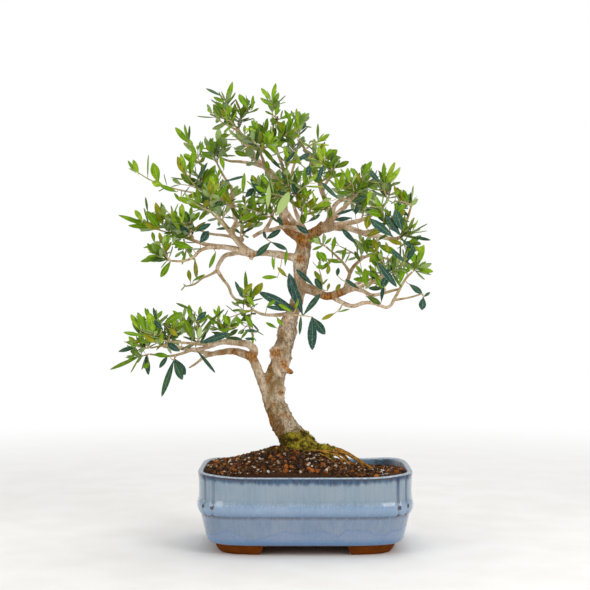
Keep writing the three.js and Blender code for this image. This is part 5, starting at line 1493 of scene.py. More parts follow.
# Leafy twigs inside the crown, in the same form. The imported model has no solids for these.
INNER_SPRAYS = [
    ("left_back", 0.5, (-60, 338, 20, 4, 17), (-44, 330, 34, 4, 17)),
    ("left_rise", 0.4, (-50, 346, -14, 3, 18), (-46, 330, -22, 3, 17)),
    ("cream_up", 0.5, (-58, 334, -30, 3, 17), (-30, 334, -34, 3, 16)),
    ("leader", 0.7, (-70, 406, 22, 4, 16), (-44, 404, 22, 4, 16)),
    ("leader", 0.5, (-62, 392, -14, 3, 16)),
    ("right_leader", 0.5, (28, 366, -14, 3, 17), (-4, 378, -20, 3, 17)),
    ("middle", 0.5, (-12, 384, -26, 3, 17)),
    ("left_out", 0.9, (-116, 290, -14, 4, 17)),
    ("right_up", 0.4, (16, 334, -24, 3, 16)),
    ("right_low", 0.36, (14, 274, -18, 2, 16)),
    ("right_low_in", 0.5, (20, 284, -18, 2, 15)),
]
print("sprays:", sum(len(rows) for rows in SPRAYS.values()), "and", len(INNER_SPRAYS), "inside")

# %% Openings and single leaves
# Gaps in the crown that show the sky: x, z and radius. No rule-grown leaf hangs in front of them.
OPENINGS = (
    (-153, 336, 7), (-135, 337, 5), (-115, 335, 4), (-88, 310, 4), (-35, 427, 5), (-20, 424, 4), (6, 406, 4),
    (86, 350, 5), (96, 362, 5), (86, 334, 5), (120, 316, 4), (36, 300, 5), (46, 298, 4), (60, 272, 4),
    (-171, 221, 5), (-172, 207, 4), (-142, 298, 4), (-156, 308, 5), (-120, 262, 4), (8, 390, 3),
)

# Single leaves by spray and stem: how far along the stem, tip, width, age from 0 for new to 1 for old. An age
# below 0 shows the pale underside.
SINGLE_LEAVES = {
    ("trunk_1", 0): [(1, (-15, 270, -18), 10, 0.97), (0.5, (-45, 252, -20), 9.5, 0.97),
        (0.5, (-38, 237, -24), 5, 0.92)],
    ("trunk_1", 1): [(0.5, (-11, 258, -26), 8.5, 1), (0.5, (15, 249, -18), 6, 0.9),
        (1, (8, 193, -14), 9.5, 0.95), (1, (21, 209, -10), 9, 0.93), (0.4, (-5, 209, -20), 3.5, 0.85)],
    ("middle_5", 0): [(1, (-49, 287, -19), 6.5, 0.88), (1, (-18, 294, -19), 5, 0.92),
        (0.5, (-25, 313, -24), 5.5, 0.93), (0.5, (-41, 311, -24), 4, 0.88)],
    ("middle_1", 1): [(0.348, (-17, 353, -38), 9, -0.1)],
    ("middle_1", 0): [(0.464, (-36, 358, -40), 4.5, -0.15)],
    ("low_left_7", 0): [(0.5, (-119, 169, -14), 8.5, 0.95), (1, (-122, 164, -18), 7.5, 0.85),
        (1, (-143, 146, -12), 6, 0.85)],
    ("low_left_2", 0): [(0.722, (-195, 174, -6), 4, 0.46), (0.167, (-156, 169, -12), 5.5, 0.85)],
    ("low_left_1", 2): [(0.722, (-186, 192, -22), 4.5, 0.85)],
    ("low_left_4", 1): [(0.167, (-64, 205, -32), 4, 0.8)],
    ("low_right_1", 0): [(0.615, (128, 272, -10), 5.5, 0.2), (0.615, (119, 298, -12), 6.5, 0.15)],
    ("low_right_2", 0): [(1, (117, 233, -18), 7.5, 0.9), (1, (125, 251, -14), 3, 0.85)],
    ("left_8", 0): [(0, (-144, 266, -34), 6, 0.42), (0.615, (-164, 282, -38), 4.5, 0.4)],
    ("left_6", 0): [(0.615, (-186, 329, -16), 5, 0.3), (0.615, (-176, 318, -18), 4.5, 0.4)],
    ("top_8", 1): [(0.722, (32, 393, 4), 8, 0.12)],
    ("left_13", 0): [(0.167, (-59, 272, 16), 4, 0.4)],
    ("top_1", 0): [(0.833, (-72, 461, 0), 5.5, 0.15)],
}
print("openings:", len(OPENINGS), "single leaves:", sum(len(rows) for rows in SINGLE_LEAVES.values()))

# %% Stems and their leaves
STEM_START = 0.8  # from the bark to where a spray's stem starts, in millimetres
STEM_BOW, STEM_SAG = 0.15, 0.1  # of its length
LEAF_SPREADS = (1.1, 0.5)  # radians off the stem, at its base and at its tip
LEAF_RISE, LEAF_WIDTHS = 0.16, (0.29, 0.4)
SHOOT_RANKS, SHOOT_PAIRS = (2, 4), 2
SHOOT_SPREAD, SHOOT_RISE, SHOOT_REACH = 0.8, 0.2, (0.32, 0.44)


def dice(seed):
    """Draws from 0 to 1 that are the same on every run."""
    state = (seed * 48271 + 12345) % 2147483647

    def draw():
        nonlocal state
        state = state * 16807 % 2147483647
        return state / 2147483647
    return draw


def between(low, high, part):
    return low + (high - low) * part


def stem_point(stem, t):
    first, bend, tip = stem
    return first * (1 - t) ** 2 + bend * (2 * t * (1 - t)) + tip * t ** 2


def stem_direction(stem, t):
    first, bend, tip = stem
    return ((bend - first) * (1 - t) + (tip - bend) * t).normalized()


def attach(limb, along, tip):
    """Where a stem leaves its limb: just off the bark, or just past the limb's end."""
    points, radii = limb
    last = len(points) - 1
    index = min(int(along * last), last - 1)
    part = along * last - index
    spot = points[index].lerp(points[index + 1], part)
    tangent = (points[index + 1] - points[index]).normalized()
    if along == 1:
        return spot + tangent * STEM_START, tangent
    outward = tip - spot
    outward = (outward - tangent * outward.dot(tangent)).normalized()
    return spot + outward * (between(radii[index], radii[index + 1], part) + STEM_START), tangent


def leaning(along, spread, turn):
    """A direction that leans from a stem's own by the spread, turned round the stem by the turn."""
    side = along.cross(UP).normalized()
    over = side.cross(along)
    sideways = side * math.cos(turn) + over * math.sin(turn)
    return along * math.cos(spread) + sideways * math.sin(spread)


def rank_place(rank, pairs):
    """How far along the stem a pair sits. Ranks count from the tip."""
    return (pairs - 0.4 - rank) / (pairs - 0.4)


def grow_leaves(stem, pairs, longest, first_turn, draw):
    leaves = []
    for rank in reversed(range(pairs)):
        t = rank_place(rank, pairs)
        along = stem_direction(stem, t)
        for side in (0, 1):
            turn = first_turn + rank * (math.pi / 2) + side * math.pi + between(-0.3, 0.3, draw())
            spread = between(*LEAF_SPREADS, t * t) + between(-0.14, 0.14, draw())
            direction = (leaning(along, spread, turn) + UP * LEAF_RISE).normalized()
            face = along + UP * 0.2
            face = (face - direction * face.dot(direction)).normalized()
            face.rotate(Quaternion(direction, between(-0.35, 0.35, draw())))
            swell = 0.74 + 0.36 * math.sin(math.pi * t * 0.9)
            length = longest * swell * between(0.82, 1.08, draw()) * (1 if rank else 0.8)
            width = length * between(*LEAF_WIDTHS, draw())
            curl = between(-0.06, 0.16, draw())
            leaves.append({"base": stem_point(stem, t), "direction": direction, "face": face,
                           "length": length, "width": width, "curl": curl, "rank": rank})
    return leaves


def grow_stem(first, tangent, tip_place, pairs, longest, seed):
    """One stem with its leaves, and the side shoots that rise from two of its pairs."""
    draw = dice(seed)
    tip = seen(tip_place)
    reach = (tip - first).length
    bend = first.lerp(tip, 0.5) + tangent * (STEM_BOW * reach) - UP * (STEM_SAG * reach)
    stem = (first, bend, tip)
    first_turn = math.pi * draw()
    leaves = grow_leaves(stem, pairs, longest, first_turn, draw)
    shoots = []
    for i, rank in enumerate(rank for rank in SHOOT_RANKS if rank < pairs):
        t = rank_place(rank, pairs)
        turn = first_turn + (rank + 1) * (math.pi / 2) + i * math.pi + between(-0.3, 0.3, draw())
        direction = (leaning(stem_direction(stem, t), SHOOT_SPREAD, turn) + UP * SHOOT_RISE).normalized()
        origin = stem_point(stem, t)
        to = origin + direction * (reach * between(*SHOOT_REACH, draw()))
        side_stem = (origin, origin.lerp(to, 0.5), to)
        shoots.append((side_stem, grow_leaves(side_stem, SHOOT_PAIRS, longest * 0.9, math.pi * draw(), draw)))
    return stem, leaves, shoots


def in_opening(leaf):
    x, z, _ = elevation(leaf["base"] + leaf["direction"] * (leaf["length"] * 0.6))
    return any(math.hypot(x - gap_x, z - gap_z) < radius for gap_x, gap_z, radius in OPENINGS)


def single_leaf(stem, t, tip_place, width, age):
    base, tip = stem_point(stem, t), seen(tip_place)
    direction = (tip - base).normalized()
    face = Vector((0.25, -1, 0.35)) if age >= 0 else Vector((-0.2, 1, -0.1))
    face = (face - direction * face.dot(direction)).normalized()
    return {"base": base, "direction": direction, "face": face, "length": (tip - base).length,
            "width": width, "curl": 0.08, "rank": 0, "age": abs(age), "set": True}


print("side shoots leave from pairs", SHOOT_RANKS, "counted from the tip")

# %% [markdown]
# ## One leaf
#
# A leaf starts as a small grid. Its rows are drawn in to the outline of an olive leaf, the middle column is
# sunk for the midrib and the edges roll under. The same skin is then copied, turned over, lowered except at
# its edge and welded on, which closes the blade without a visible thickness at the rim. Three outlines give
# enough variety, and a few dozen faces each is all that a hundred-fold copy can afford.

# %% Model three leaves
LEAF_ROWS = (0, 0.07, 0.17, 0.31, 0.47, 0.63, 0.79, 0.92, 1)
ACROSS_ROWS = (-1, -0.52, 0, 0.52, 1)
BLADE_DEPTH = 0.075  # of the width, from the upper skin to the lower
MIDRIB_FOLD, EDGE_FOLD, BLADE_FOLD = -0.045, -0.06, 0.03
GREEN_LUCK, YELLOW_LUCK = 0.85, 0.95  # a luck above 0.9 turns a leaf olive yellow


def leaf_outline(v, fullness, bulge):
    """The blade's width at v: a short stalk at the base, full in the middle, nearly nothing at the tip."""
    part = np.clip((v - 0.05) / 0.95, 0, 1)
    return 0.12 * (1 - v) + 0.02 + (0.94 * np.sin(np.pi * part ** bulge) ** fullness)


def model_leaf(fullness, bulge):
    take()
    bpy.ops.mesh.primitive_grid_add(x_subdivisions=4, y_subdivisions=8, size=MM)
    leaf = start("leaf")
    rows = places_of(leaf)
    u = np.array(ACROSS_ROWS)[np.rint((rows[:, 0] + 0.5) * 4).astype(int)]
    v = np.array(LEAF_ROWS)[np.rint((rows[:, 1] + 0.5) * 8).astype(int)]
    half = leaf_outline(v, fullness, bulge) / 2
    fold = np.where(u == 0, MIDRIB_FOLD, np.where(np.abs(u) == 1, EDGE_FOLD, BLADE_FOLD)) * half * 2
    move_to(leaf, np.column_stack([u * half, v, fold]))
    bpy.ops.object.mode_set(mode="EDIT")
    bpy.ops.mesh.select_mode(type="VERT")
    bpy.ops.mesh.select_all(action="SELECT")
    bpy.ops.mesh.normals_make_consistent(inside=False)
    bpy.ops.mesh.duplicate()
    bpy.ops.mesh.flip_normals()
    bpy.ops.object.material_slot_add()
    bpy.ops.object.material_slot_add()
    leaf.active_material_index = 1
    bpy.ops.object.material_slot_assign()
    bpy.ops.mesh.select_less()
    bpy.ops.transform.translate(value=(0, 0, -BLADE_DEPTH * MM))
    bpy.ops.mesh.select_all(action="SELECT")
    bpy.ops.mesh.remove_doubles(threshold=0.001 * MM)
    edit_done()
    return leaf


LEAF_FORMS = [form_of(model_leaf(*shape)) for shape in ((0.68, 1.1), (0.75, 1.35), (0.85, 1.2))]
print("leaf faces:", [len(form[1]) for form in LEAF_FORMS])

# %% [markdown]
# ## Leaf and stem finishes
#
# The upper side is leathery: bright yellow-green when new, deep blue-green when old, with a pale midrib,
# faint side veins and the grey scaly speckle that old olive leaves carry. The underside is pale and felted.
# A map on each blade runs across and along it, so the midrib and veins follow every leaf however it lies.


# %% Leaf finishes
def leaf_map(tree):
    """Across the blade from 0 at the midrib to 1 at the edge, and a mask of the side veins."""
    where = step(tree, "ShaderNodeUVMap", {"uv_map": "blade"}).outputs[0]
    parts = step(tree, "ShaderNodeSeparateXYZ", None, Vector=where).outputs
    across = calc("ABSOLUTE", calc("MULTIPLY_ADD", parts[0], 2, -1))
    slanted = calc("MULTIPLY_ADD", across, -0.16, parts[1])
    wave = calc("SINE", times(slanted, 75))
    veins = times(fade(wave, 0.55, 1), fade(across, 1, 0.6))
    return across, veins


finish, tree, shader, here = new_finish("leaf_upper", 0.45, specular=0.08)
age, luck = read(tree, "age"), read(tree, "luck")
across, veins = leaf_map(tree)
cast = mottled(here, 5, 3)
shade = calc("ADD", age, calc("MULTIPLY_ADD", cast, 0.16, -0.08))
colour = ramp(
    shade,
    (0, (176, 200, 52)), (0.14, (134, 172, 10)), (0.32, (103, 149, 0)), (0.52, (101, 127, 4)),
    (0.7, (70, 100, 32)), (0.84, (47, 84, 68)), (1, (36, 70, 76)),
)
olive = mix(cast, (164, 146, 16), (128, 128, 10))
colour = mix(fade(luck, 0.86, 0.9, 0, 0.8), colour, olive)
colour = coats(colour, (cast, 0.2, (44, 78, 10)))
midrib = times(fade(across, 0.12, 0.03), fade(age, 0.2, 1, 0.6, 0.25))
colour = mix(midrib, colour, (190, 204, 110))
colour = coats(colour, (veins, 0.1, (150, 172, 70)))
scales = freckled(here, 1.3, 0.34, 0.55)
scales = times(scales, fade(age, 0.55, 0.95, 0.04, 0.75))
colour = mix(scales, colour, (140, 166, 164))
# Painted highlight: a pale yellow-green rim along the edge of every blade.
colour = coats(colour, (fade(across, 0.88, 1), 0.22, (160, 172, 70)))
ribs = calc("SUBTRACT", times(veins, 0.4), midrib)
lay_on(shader, colour, ribs, 0.12, fade(age, 0.3, 1, 0.38, 0.52))
leaf_upper = finish

finish, tree, shader, here = new_finish("leaf_underside", 0.75, specular=0.3)
age = read(tree, "age")
across, _ = leaf_map(tree)
felt = mottled(here, 0.9, 3)
colour = ramp(age, (0, (178, 206, 116)), (0.4, (152, 178, 96)), (1, (128, 152, 122)))
midrib = fade(across, 0.15, 0.04)
colour = coats(colour, (felt, 0.25, (196, 214, 170)), (midrib, 0.6, (196, 204, 132)))
lay_on(shader, colour, calc("ADD", midrib, times(felt, 0.3)), 0.15)
leaf_under = finish

finish, tree, shader, here = new_finish("young_stem", 0.65, specular=0.35)
streak = mottled(here, 3, 4, 0.35, 0.65)
pores = freckled(here, 1.2, 0.28, 0.5)
old_stem = mix(streak, (186, 160, 118), (220, 198, 160))
new_stem = mix(streak, (156, 158, 44), (186, 180, 88))
colour = mix(read(tree, "age"), new_stem, old_stem)
lay_on(shader, coats(colour, (pores, 0.4, (112, 92, 62))), pores, 0.1)
stem_skin = finish
print("leaf finishes:", leaf_upper.name, leaf_under.name, stem_skin.name)

# %% [markdown]
# ## Every spray
#
# A spray's stems are curves made into tubes, and its leaves are copies of the three forms, bent to each
# leaf's own length, width and curl. A blade may roll on its stalk, so that the crown shows some leaves
# broadside and some on edge. The colour follows the age: the outer pairs are new growth and those nearer
# the wood are older.


# %% Build one piece of leaves
STEM_RADII, SHOOT_RADII = (0.95, 0.5), (0.62, 0.4)
FORM_SPAN = 2.999  # a draw times this, cut to a whole number, picks one of the three forms


def blade_rows(form, leaf):
    """The form's rows, bent to this leaf."""
    rows, _, _ = form
    v = rows[:, 1]
    along = np.array(leaf["direction"]) * leaf["length"]
    across = np.array(leaf["face"].cross(leaf["direction"])) * leaf["width"]
    rise = np.array(leaf["face"])
    lift = rows[:, 2] * leaf["width"] - leaf["curl"] * leaf["length"] * v * v
    return np.array(leaf["base"]) + v[:, None] * along + rows[:, :1] * across + lift[:, None] * rise


def add_leaves(name, leaves):
    """One mesh of leaves, with its blade map and each leaf's age and luck."""
    rows, faces, slots, ages, lucks, maps = [], [], [], [], [], []
    count = 0
    for leaf in leaves:
        form = LEAF_FORMS[leaf["form"]]
        rows.append(blade_rows(form, leaf))
        faces.extend(tuple(corner + count for corner in face) for face in form[1])
        slots.extend(form[2])
        widest = np.maximum(leaf_outline(form[0][:, 1], 0.85, 1) / 2, 0.02)
        maps.append(np.column_stack([np.clip(form[0][:, 0] / widest / 2 + 0.5, 0, 1), form[0][:, 1]]))
        ages.append(np.full(len(form[0]), leaf["age"]))
        lucks.append(np.full(len(form[0]), leaf["luck"]))
        count += len(form[0])
    mesh = bpy.data.meshes.new(name)
    mesh.from_pydata((np.concatenate(rows) * MM).tolist(), [], faces)
    mesh.polygons.foreach_set("material_index", slots)
    corners = np.empty(len(mesh.loops), dtype=int)
    mesh.loops.foreach_get("vertex_index", corners)
    mesh.uv_layers.new(name="blade").data.foreach_set("uv", np.concatenate(maps)[corners].ravel())
    piece = bpy.data.objects.new(name, mesh)
    bpy.context.collection.objects.link(piece)
    store(piece, "age", np.concatenate(ages))
    store(piece, "luck", np.concatenate(lucks))
    return piece


def dress(leaf, draw, age):
    """Gives a leaf its form, age, luck and a roll on its stalk."""
    leaf["form"] = int(draw() * FORM_SPAN)
    leaf["luck"] = draw() * (GREEN_LUCK if "set" in leaf else 1)
    roll = between(-0.7, 0.7, draw())
    drift = between(-0.12, 0.16, draw())
    if "age" not in leaf:
        leaf["face"].rotate(Quaternion(leaf["direction"], roll))
        leaf["age"] = min(max(age + drift, 0), 1)
    return leaf


def leafy_piece(name, leaves, stems, first=None):
    """One piece of leaves and stems. Stems are green, and woody near where the first one starts."""
    piece = add_limbs(f"stems_{name}", stems, 5, 1)
    rows = places_of(piece)
    away = np.linalg.norm(rows - np.array(first), axis=1) if first else np.full(len(rows), 20)
    store(piece, "age", 1 - ease(away, 8, 45))
    store(piece, "luck", np.zeros(len(rows)))
    wear(piece, leaf_upper, leaf_under, stem_skin)
    piece.data.polygons.foreach_set("material_index", [2] * len(piece.data.polygons))
    if leaves:
        stems_piece = piece
        piece = add_leaves(f"leaves_{name}", leaves)
        wear(piece, leaf_upper, leaf_under, stem_skin)
        take(piece, stems_piece)
        bpy.ops.object.join()
    piece.name = piece.data.name = name
    smooth(piece)
    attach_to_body(piece, "root")
    return piece


print("stem radii:", STEM_RADII, "shoot radii:", SHOOT_RADII)

# %% Grow every spray
carriers = {**branches, "trunk": trunk}
perches = []  # where a leaf can sit: on the stems and on the limbs
seed = leaf_count = 0
for region, sprays in {**SPRAYS, "inner": INNER_SPRAYS}.items():
    for number, (carrier, along, *stems) in enumerate(sprays, start=1):
        spray = f"{region}_{number}"
        first, tangent = attach(carriers[carrier], along, seen(stems[0][:3]))
        routes, leaves = [], []
        for which, (*tip, pairs, longest) in enumerate(stems):
            seed += 1
            stem, own, shoots = grow_stem(first, tangent, tip, pairs, longest, seed)
            draw = dice(seed + 700)
            shift = between(-0.1, 0.3, draw() ** 1.5)
            for row in SINGLE_LEAVES.get((spray, which), ()):
                leaves.append(dress(single_leaf(stem, *row), draw, 0))
            leaves += [dress(leaf, draw, 0.04 + 0.17 * leaf["rank"] + shift) for leaf in own]
            routes.append(([stem_point(stem, t) for t in (0, 0.35, 0.7, 1)], np.linspace(*STEM_RADII, 4)))
            perches += [stem_point(stem, t / 20) for t in range(21)]
            for side_stem, side_leaves in shoots:
                leaves += [dress(leaf, draw, 0.22 + 0.2 * leaf["rank"] + shift) for leaf in side_leaves]
                routes.append(([stem_point(side_stem, t) for t in (0, 0.5, 1)], np.linspace(*SHOOT_RADII, 3)))
        leaves = [leaf for leaf in leaves if leaf.get("set") or not in_opening(leaf)]
        piece = leafy_piece(f"olive_{spray}", leaves, routes, first)
        if region in SPRAYS:
            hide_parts(f"spray_{spray}")
        leaf_count += len(leaves)
print("stems:", seed, "leaves:", leaf_count)

# %% [markdown]
# ## Leaves set one by one
#
# The sprays grow by rule. At the edge of the crown, along the bare twigs and in front of the openings each
# leaf counts, so those are set one by one on the same front elevation as the branches. A row gives where the
# stalk and the tip are, how wide the blade looks from the front and its age: below 0 its underside shows,
# and above 1 it is an olive-yellow leaf, 1 older. A last value says how deep in the crown it is looked for.
# The blade is rolled on its stalk until it looks as wide as that, and a fine twig joins it to the nearest
# stem or limb.

# %% Rows of the set leaves
SET_LEAVES = {
    "top": [
        (-82, 446, -98, 455, 3.2, 0.75), (-80, 440, -91, 446, 4, 0.4), (-81, 434, -89, 440, 4, 0.45),
        (-83, 425, -92, 438, 6, 0.62), (-78, 421, -79, 437, 5, 0.2), (-75, 408, -84, 407, 5, 0.45),
        (-57, 434, -65, 449, 6.5, 0.35), (-53, 432, -51, 447, 3.5, 0.35), (-54, 430, -46, 434, 2, 0.5),
        (-33, 443, -30, 460, 4.5, 0.15), (-34, 442, -43, 455, 4.5, 0.15), (-32, 436, -44, 446, 5, 0.2),
        (-30, 437, -20, 448, 1.8, 0.6), (-30, 427, -27, 437, 4.5, 0.25), (-31, 427, -40, 431, 2, 0.45),
        (-27, 400, -22, 423, 6, 0.24, -30), (-28, 390, -42, 410, 7.5, 0.18, -36),
        (-12, 418, -21, 432, 4, 0.3), (-7, 413, -7, 434, 3.5, 0.2), (-5, 417, -1, 431, 4.5, 0.3),
        (-8, 411, -8, 424, 5, 0.2, -20), (13, 401, 11, 419, 3, 0.25), (12, 400, 24, 409, 5, 0.14),
        (20, 385, 19, 397, 4.5, 0.2), (21, 386, 25, 394, 3.5, 0.3), (-19, 380, -11, 391, 4, 0.98, -40),
        (-6, 383, 4, 390, 5, 0.95, -40), (3, 367, 5, 377, 6, 0.99, -60), (12, 360, 19, 377, 5, 0.98, -60),
        (-23, 373, -38, 386, 3.5, 0.9, -40), (-36, 371, -38, 382, 5, 0.28, -45),
    ],
    "left": [
        (-170, 371, -177, 382, 3.5, 0.35), (-166, 369, -171, 383, 5, 0.1), (-157, 366, -158, 388, 1.8, -0.1),
        (-146, 360, -151, 380, 8.5, 0.22), (-142, 358, -152, 361, 7, 0.04), (-128, 351, -144, 358, 4.5, 0.3),
        (-117, 400, -130, 415, 5.5, 0.2), (-117, 402, -119.5, 418.5, 3.2, 0.25),
        (-116, 400, -116, 417, 3, 0.75), (-120, 402, -123, 411, 4, 0.3), (-113, 369, -113, 393, 6, 0.26, -36),
        (-120, 368, -129, 386, 7.5, 1.15, -36), (-118, 370, -123, 389, 4.5, 0.15, -38),
        (-108, 362, -99, 381, 4, 0.85, -38), (-103, 356, -90, 378, 8, 0.42, -42),
        (-105, 387, -103, 401, 3.8, 0.3), (-90, 382, -103, 392, 4.5, 0.3), (-91, 390, -94, 405, 4, 0.25),
        (-91, 388, -98, 398, 5, 0.2), (-81, 373, -85, 386, 5, 0.2), (-90, 356, -94, 367, 5, 0.1, -45),
        (-80, 361, -60, 369, 3, 0.88, -30), (-62, 349, -62, 370, 4, 0.22, -40), (-83, 395, -88, 403, 4, 0.4),
        (-72, 338, -84, 353, 7, 1.2, -50), (-124, 341, -130, 350, 3, 0.3),
    ],
    "left_low": [
        (-157, 331, -158, 346, 2, 0.7), (-146, 316, -157, 332, 7, 0.3, -30),
        (-142, 318, -148, 341, 6.5, 1.15, -30), (-144, 313, -160, 321, 6, 1.4, -30),
        (-162, 322, -169, 333, 5, 0.12), (-125, 312, -132, 333, 6, 0.12, -45),
        (-123, 320, -124, 339, 6, 0.15, -45), (-118, 318, -120, 330, 4, 0.35),
        (-110, 311, -95, 320, 5.5, 0.9, -55), (-105, 300, -97, 312, 8, 0.97, -50),
        (-112, 295, -132, 301, 7, 0.32, -50), (-134, 304, -162, 297, 3.5, 0.3),
        (-139, 287, -150, 300, 5, 0.35), (-149, 289, -157, 300, 3.5, 0.35), (-150, 300, -152, 311, 3.5, 0.5),
        (-110, 283, -109, 265, 4.5, 1.98), (-114, 261, -116, 273, 4.5, 1.4), (-112, 262, -100, 269, 3, 0.45),
        (-89, 291, -96, 275, 4, 0.35), (-73, 315, -89, 315, 3, 0.88, -30), (-63, 314, -52, 320, 4, 1.3, -35),
    ],
    "middle": [
        (-37, 334, -35, 358, 5, -0.1, -77), (-28, 328, -17, 352, 9, -0.12, -79),
        (-36, 358, -45, 367, 4.5, 0.2, -60), (-42, 346, -53, 364, 5, 0.9, -50),
        (35, 352, 31, 367, 5, 0.16, -65), (36, 353, 37, 369, 6, 0.12, -65), (3, 321, 15, 329, 4, 0.92, -30),
        (-9, 318, 4, 310, 6, 0.97, -22), (1, 322, 1, 338, 3.5, 0.15, -50), (-22, 317, -27, 326, 4, 0.9, -40),
        (-60, 345, -50, 354, 6, 0.95, -50), (-8, 348, -12, 360, 5, 0.9, -60),
        (-5, 336, -8, 350, 5.5, 1.1, -60), (33, 344, 17, 361, 4.5, 0.85, -60),
    ],
    "right": [
        (57, 368, 66, 382, 5, 0.2), (56, 367, 60, 380, 5, 0.62), (52, 366, 46, 375, 4.5, 0.25),
        (44, 360, 43, 375, 5.5, 0.2, -40), (79, 360, 77, 381, 4.5, 0.25), (80, 360, 89, 381, 5, 0.08),
        (81, 359, 95, 373, 5, 0.08), (75, 360, 65, 372, 6, 0.92, -40), (76, 352, 63, 357, 3, 0.4),
        (89, 358, 91, 350, 3, 1.3), (90, 347, 94, 352, 4, 0.2), (103, 341, 97, 353, 4.5, 0.3),
        (105, 336, 113, 344, 4.5, -0.1), (103, 334, 91, 339, 5, 0.85), (104, 327, 91, 333, 5, 0.9),
        (107, 311, 122, 320, 1.8, 0.7), (107, 306, 125, 302, 3, 0.85), (98, 303, 111, 293, 5, 0.92),
        (98, 312, 99, 328, 3, 0.1, -60), (95, 308, 82, 327, 8, 0.96, -76), (97, 312, 91, 334, 9, 0.9, -72),
        (88, 306, 65, 325, 9, 0.93, -80), (47, 325, 30, 324, 4.5, 0.97, -50),
        (50, 334, 31, 330, 3, 0.95, -50), (52, 298, 36, 313, 5, 0.93, -45), (60, 306, 81, 315, 5, 1.5, -70),
        (61, 314, 63, 327, 7, 1.3, -70), (84, 288, 81, 301, 3.5, 1.3, -50), (83, 303, 97, 298, 4.5, 1.5, -70),
        (50, 328, 52, 337, 5, 0.95, -50), (57, 332, 62, 345, 4.5, 0.3, -50), (62, 338, 65, 353, 4, 0.1, -50),
        (46, 341, 60, 347, 6, 0.8, -40), (72, 291, 69, 305, 5, 1.4, -50),
    ],
    "right_low": [
        (62, 289, 60, 301, 7, 0.55, -50), (55, 281, 50, 292, 4.5, 0.65, -40),
        (72, 281, 92, 257, 6.5, 0.97, -70), (100, 281, 86, 294, 5, 0.88, -66),
        (100, 280, 109, 296, 5.5, 0.93, -40), (94, 258, 100, 277, 5, 0.25, -66),
        (101, 270, 104, 279, 3, 0.25), (61, 257, 61, 274, 7, 0.22, -66), (78, 255, 71, 266, 5, 0.3, -66),
        (76, 254, 82, 267, 6, 0.95, -60), (76, 241, 77, 257, 4, 0.93, -40), (54, 254, 41, 264, 4, 0.85, -40),
        (61, 247, 76, 240, 5.5, 0.7, -40), (104, 259, 117, 250, 6, 0.87, -30),
    ],
    "trunk": [
        (30, 230, 17, 223, 4, 1.4), (33, 231, 44, 235, 2, 0.3), (17, 253, 11, 265, 6.5, 0.85, -26),
        (9, 257, -10, 273, 5.5, 0.95, -30), (22, 252, 24, 260, 3, 1.4), (30, 252, 35, 259, 4, 1.4),
        (20, 277, 11, 276, 4, 0.35), (24, 278, 22, 269, 4, 1.3), (32, 267, 34, 275, 4, 0.85),
        (38, 280, 22, 284, 4, 0.2), (22, 281, 15, 291, 7, 0.28, -26), (15, 282, 13, 292, 5, 0.3),
        (27, 291, 31, 306, 4.5, 0.22), (19, 298, 26, 305, 3, 0.3), (37, 282, 40, 296, 3.5, 0.3),
        (-62, 245, -69, 262, 4, 0.85), (-62, 249, -53, 260, 5.5, 1.3), (-54, 245, -43, 261, 8, 1.25, -20),
        (-50, 236, -57, 247, 5, 0.2, -20), (-13, 231, -26, 240, 4, 0.2, -26),
        (-10, 233, -7, 244, 2.5, 0.15, -30), (-27, 266, -43, 266.5, 4.5, 0.22), (-31, 273, -32, 286, 3, 0.25),
        (-20, 277, -19, 293, 3.5, 0.25), (-18, 266, -27, 276, 4, 1.1), (-28, 226, -23, 218, 4, 0.3),
        (-28, 215, -39, 221, 3.5, 0.25), (-53, 232, -63, 232, 3, 1.1), (-52, 215, -58, 228, 5, 0.35),
        (-75, 217, -81, 229, 5.5, 0.2), (-72, 214, -86, 213, 3.5, 0.3), (-66, 217, -67, 227, 3.5, 0.3),
        (-61, 217, -67, 226, 3, 0.35), (-46, 212, -60, 213, 3, 0.85), (-50, 204, -60, 205, 3, 0.85),
        (-38, 237, -30, 243, 4, 0.3),
    ],
    "low_left": [
        (-165, 197, -179, 201, 4, 0.35), (-160, 207, -181, 212, 4, 0.3, -58),
        (-163, 212, -173, 229, 5.5, 0.1, -58), (-158, 210, -166, 231, 6, 0.28, -60),
        (-155, 222, -159, 236, 3.5, 0.35), (-150, 210, -155, 231, 8, 0.14, -62),
        (-148, 222, -152, 235, 3.5, 0.85), (-142, 213, -151, 222, 5, 0.95, -60),
        (-141, 219, -124, 231, 7, 0.42, -56), (-112, 205, -121, 226, 8, 0.55, -60),
        (-114, 224, -115, 239, 5, 0.25), (-112, 233, -128, 241, 2.5, 0.65),
        (-109, 222, -99, 232, 6, 0.85, -54), (-104, 210, -88, 229, 4, 0.6, -56),
        (-106, 205, -105, 217, 5, -0.05, -60), (-105, 200, -75, 211, 7, 0.93, -54),
        (-87, 221, -87, 238, 4, 0.2), (-87, 219, -94, 223, 3, 0.4), (-90, 225, -80, 233, 2, 0.7),
        (-155, 181, -161, 175, 4.5, 0.35), (-137, 187, -145, 175, 4.5, 0.88),
        (-107, 192, -88, 172, 3.5, 0.88), (-143, 200, -144, 210, 6, 0.02, -60),
        (-148, 200, -161, 209, 5, 1.3, -60), (-125, 192, -137, 200, 6, 0.95, -50),
        (-127, 207, -135, 215, 5, 1.5, -56), (-135, 187, -150, 190, 5, 0.3, -50),
    ],
}
print("set leaves:", sum(len(rows) for rows in SET_LEAVES.values()))

# %% Set the leaves
HINT_Y, DEPTH_EASE, FORWARD, FRONT = -25, 0.35, 10, -76
TWIG_RADII = (0.5, 0.36)


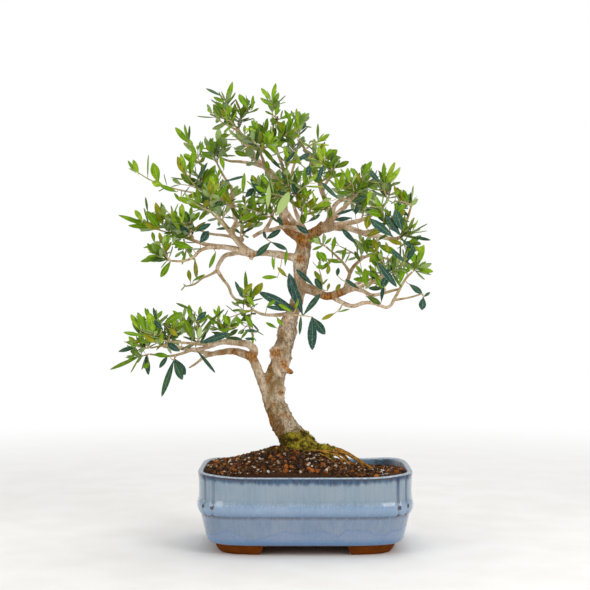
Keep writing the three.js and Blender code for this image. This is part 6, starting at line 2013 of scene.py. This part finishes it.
def set_leaf(row, draw):
    """A leaf from its row, and the twig that carries it."""
    x, z, tip_x, tip_z, looks, age, hint = (*row, HINT_Y)[:7]
    _, index, _ = perch_tree.find((x, hint * DEPTH_EASE, z))
    perch = perches[index]
    behind = elevation(perch)[2]
    y = hint if hint < FRONT else min(max(hint, behind - FORWARD), behind - 2)
    base = seen((x, z, y))
    flat = math.hypot(tip_x - x, tip_z - z)
    tip = seen((tip_x, tip_z, y + flat * between(-0.45, 0.25, draw())))
    direction = (tip - base).normalized()
    length = (tip - base).length
    width = max(1.12 * looks, 0.24 * length)
    face = Vector((0, -1, 0))
    face = (face - direction * face.dot(direction)).normalized()
    roll = math.acos(looks / width) + between(0, 0.2, draw())
    turned_faces = [face.copy(), face.copy()]
    for side, turned_face in zip((1, -1), turned_faces):
        turned_face.rotate(Quaternion(direction, side * roll))
    turned_faces.sort(key=lambda one: one.z, reverse=draw() < 0.75)
    leaf = {
        "base": base, "direction": direction, "face": turned_faces[0] * (-1 if age < 0 else 1),
        "length": length, "width": width, "curl": between(0.03, 0.12, draw()),
        "form": int(draw() * FORM_SPAN), "age": abs(age) % 1 if abs(age) > 1 else abs(age),
        "luck": YELLOW_LUCK if age > 1 else draw() * GREEN_LUCK,
    }
    sag = perch.lerp(base, 0.5) - UP * (0.08 * (base - perch).length)
    return leaf, ([perch, sag, base + direction * 0.5], np.linspace(*TWIG_RADII, 3))


for points, _ in carriers.values():
    perches += [a.lerp(b, part / 4) for a, b in zip(points, points[1:]) for part in range(4)]
perch_tree = kdtree.KDTree(len(perches))
for index, perch in enumerate(perches):
    x, z, y = elevation(perch)
    perch_tree.insert((x, y * DEPTH_EASE, z), index)
perch_tree.balance()

for number, (region, rows) in enumerate(SET_LEAVES.items()):
    draw = dice(900 + number)
    leaves, twigs = zip(*(set_leaf(row, draw) for row in rows))
    leafy_piece(f"set_leaves_{region}", leaves, twigs)
    leaf_count += len(leaves)
print("leaves with those set by hand:", leaf_count)

# %% [markdown]
# ## The sizes
#
# The imported model's box and the dressed tree's box are gathered in metres, and both are printed in
# millimetres with the count of shown faces. The dressed tree has to stay as large as the imported model
# says.

# %% Gather and print the sizes
shown = [piece for piece in bpy.data.objects if piece.type == "MESH" and not piece.hide_render]
own_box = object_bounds()
sizes = {"cad": [list(corner) for corner in cad_box], "visual": [list(corner) for corner in own_box]}
print("shown faces:", sum(len(piece.data.polygons) for piece in shown))
print("packed box mm:", [round(float(v) / MM, 1) for corner in cad_box for v in corner])
print("visual box mm:", [round(float(v) / MM, 1) for corner in own_box for v in corner])
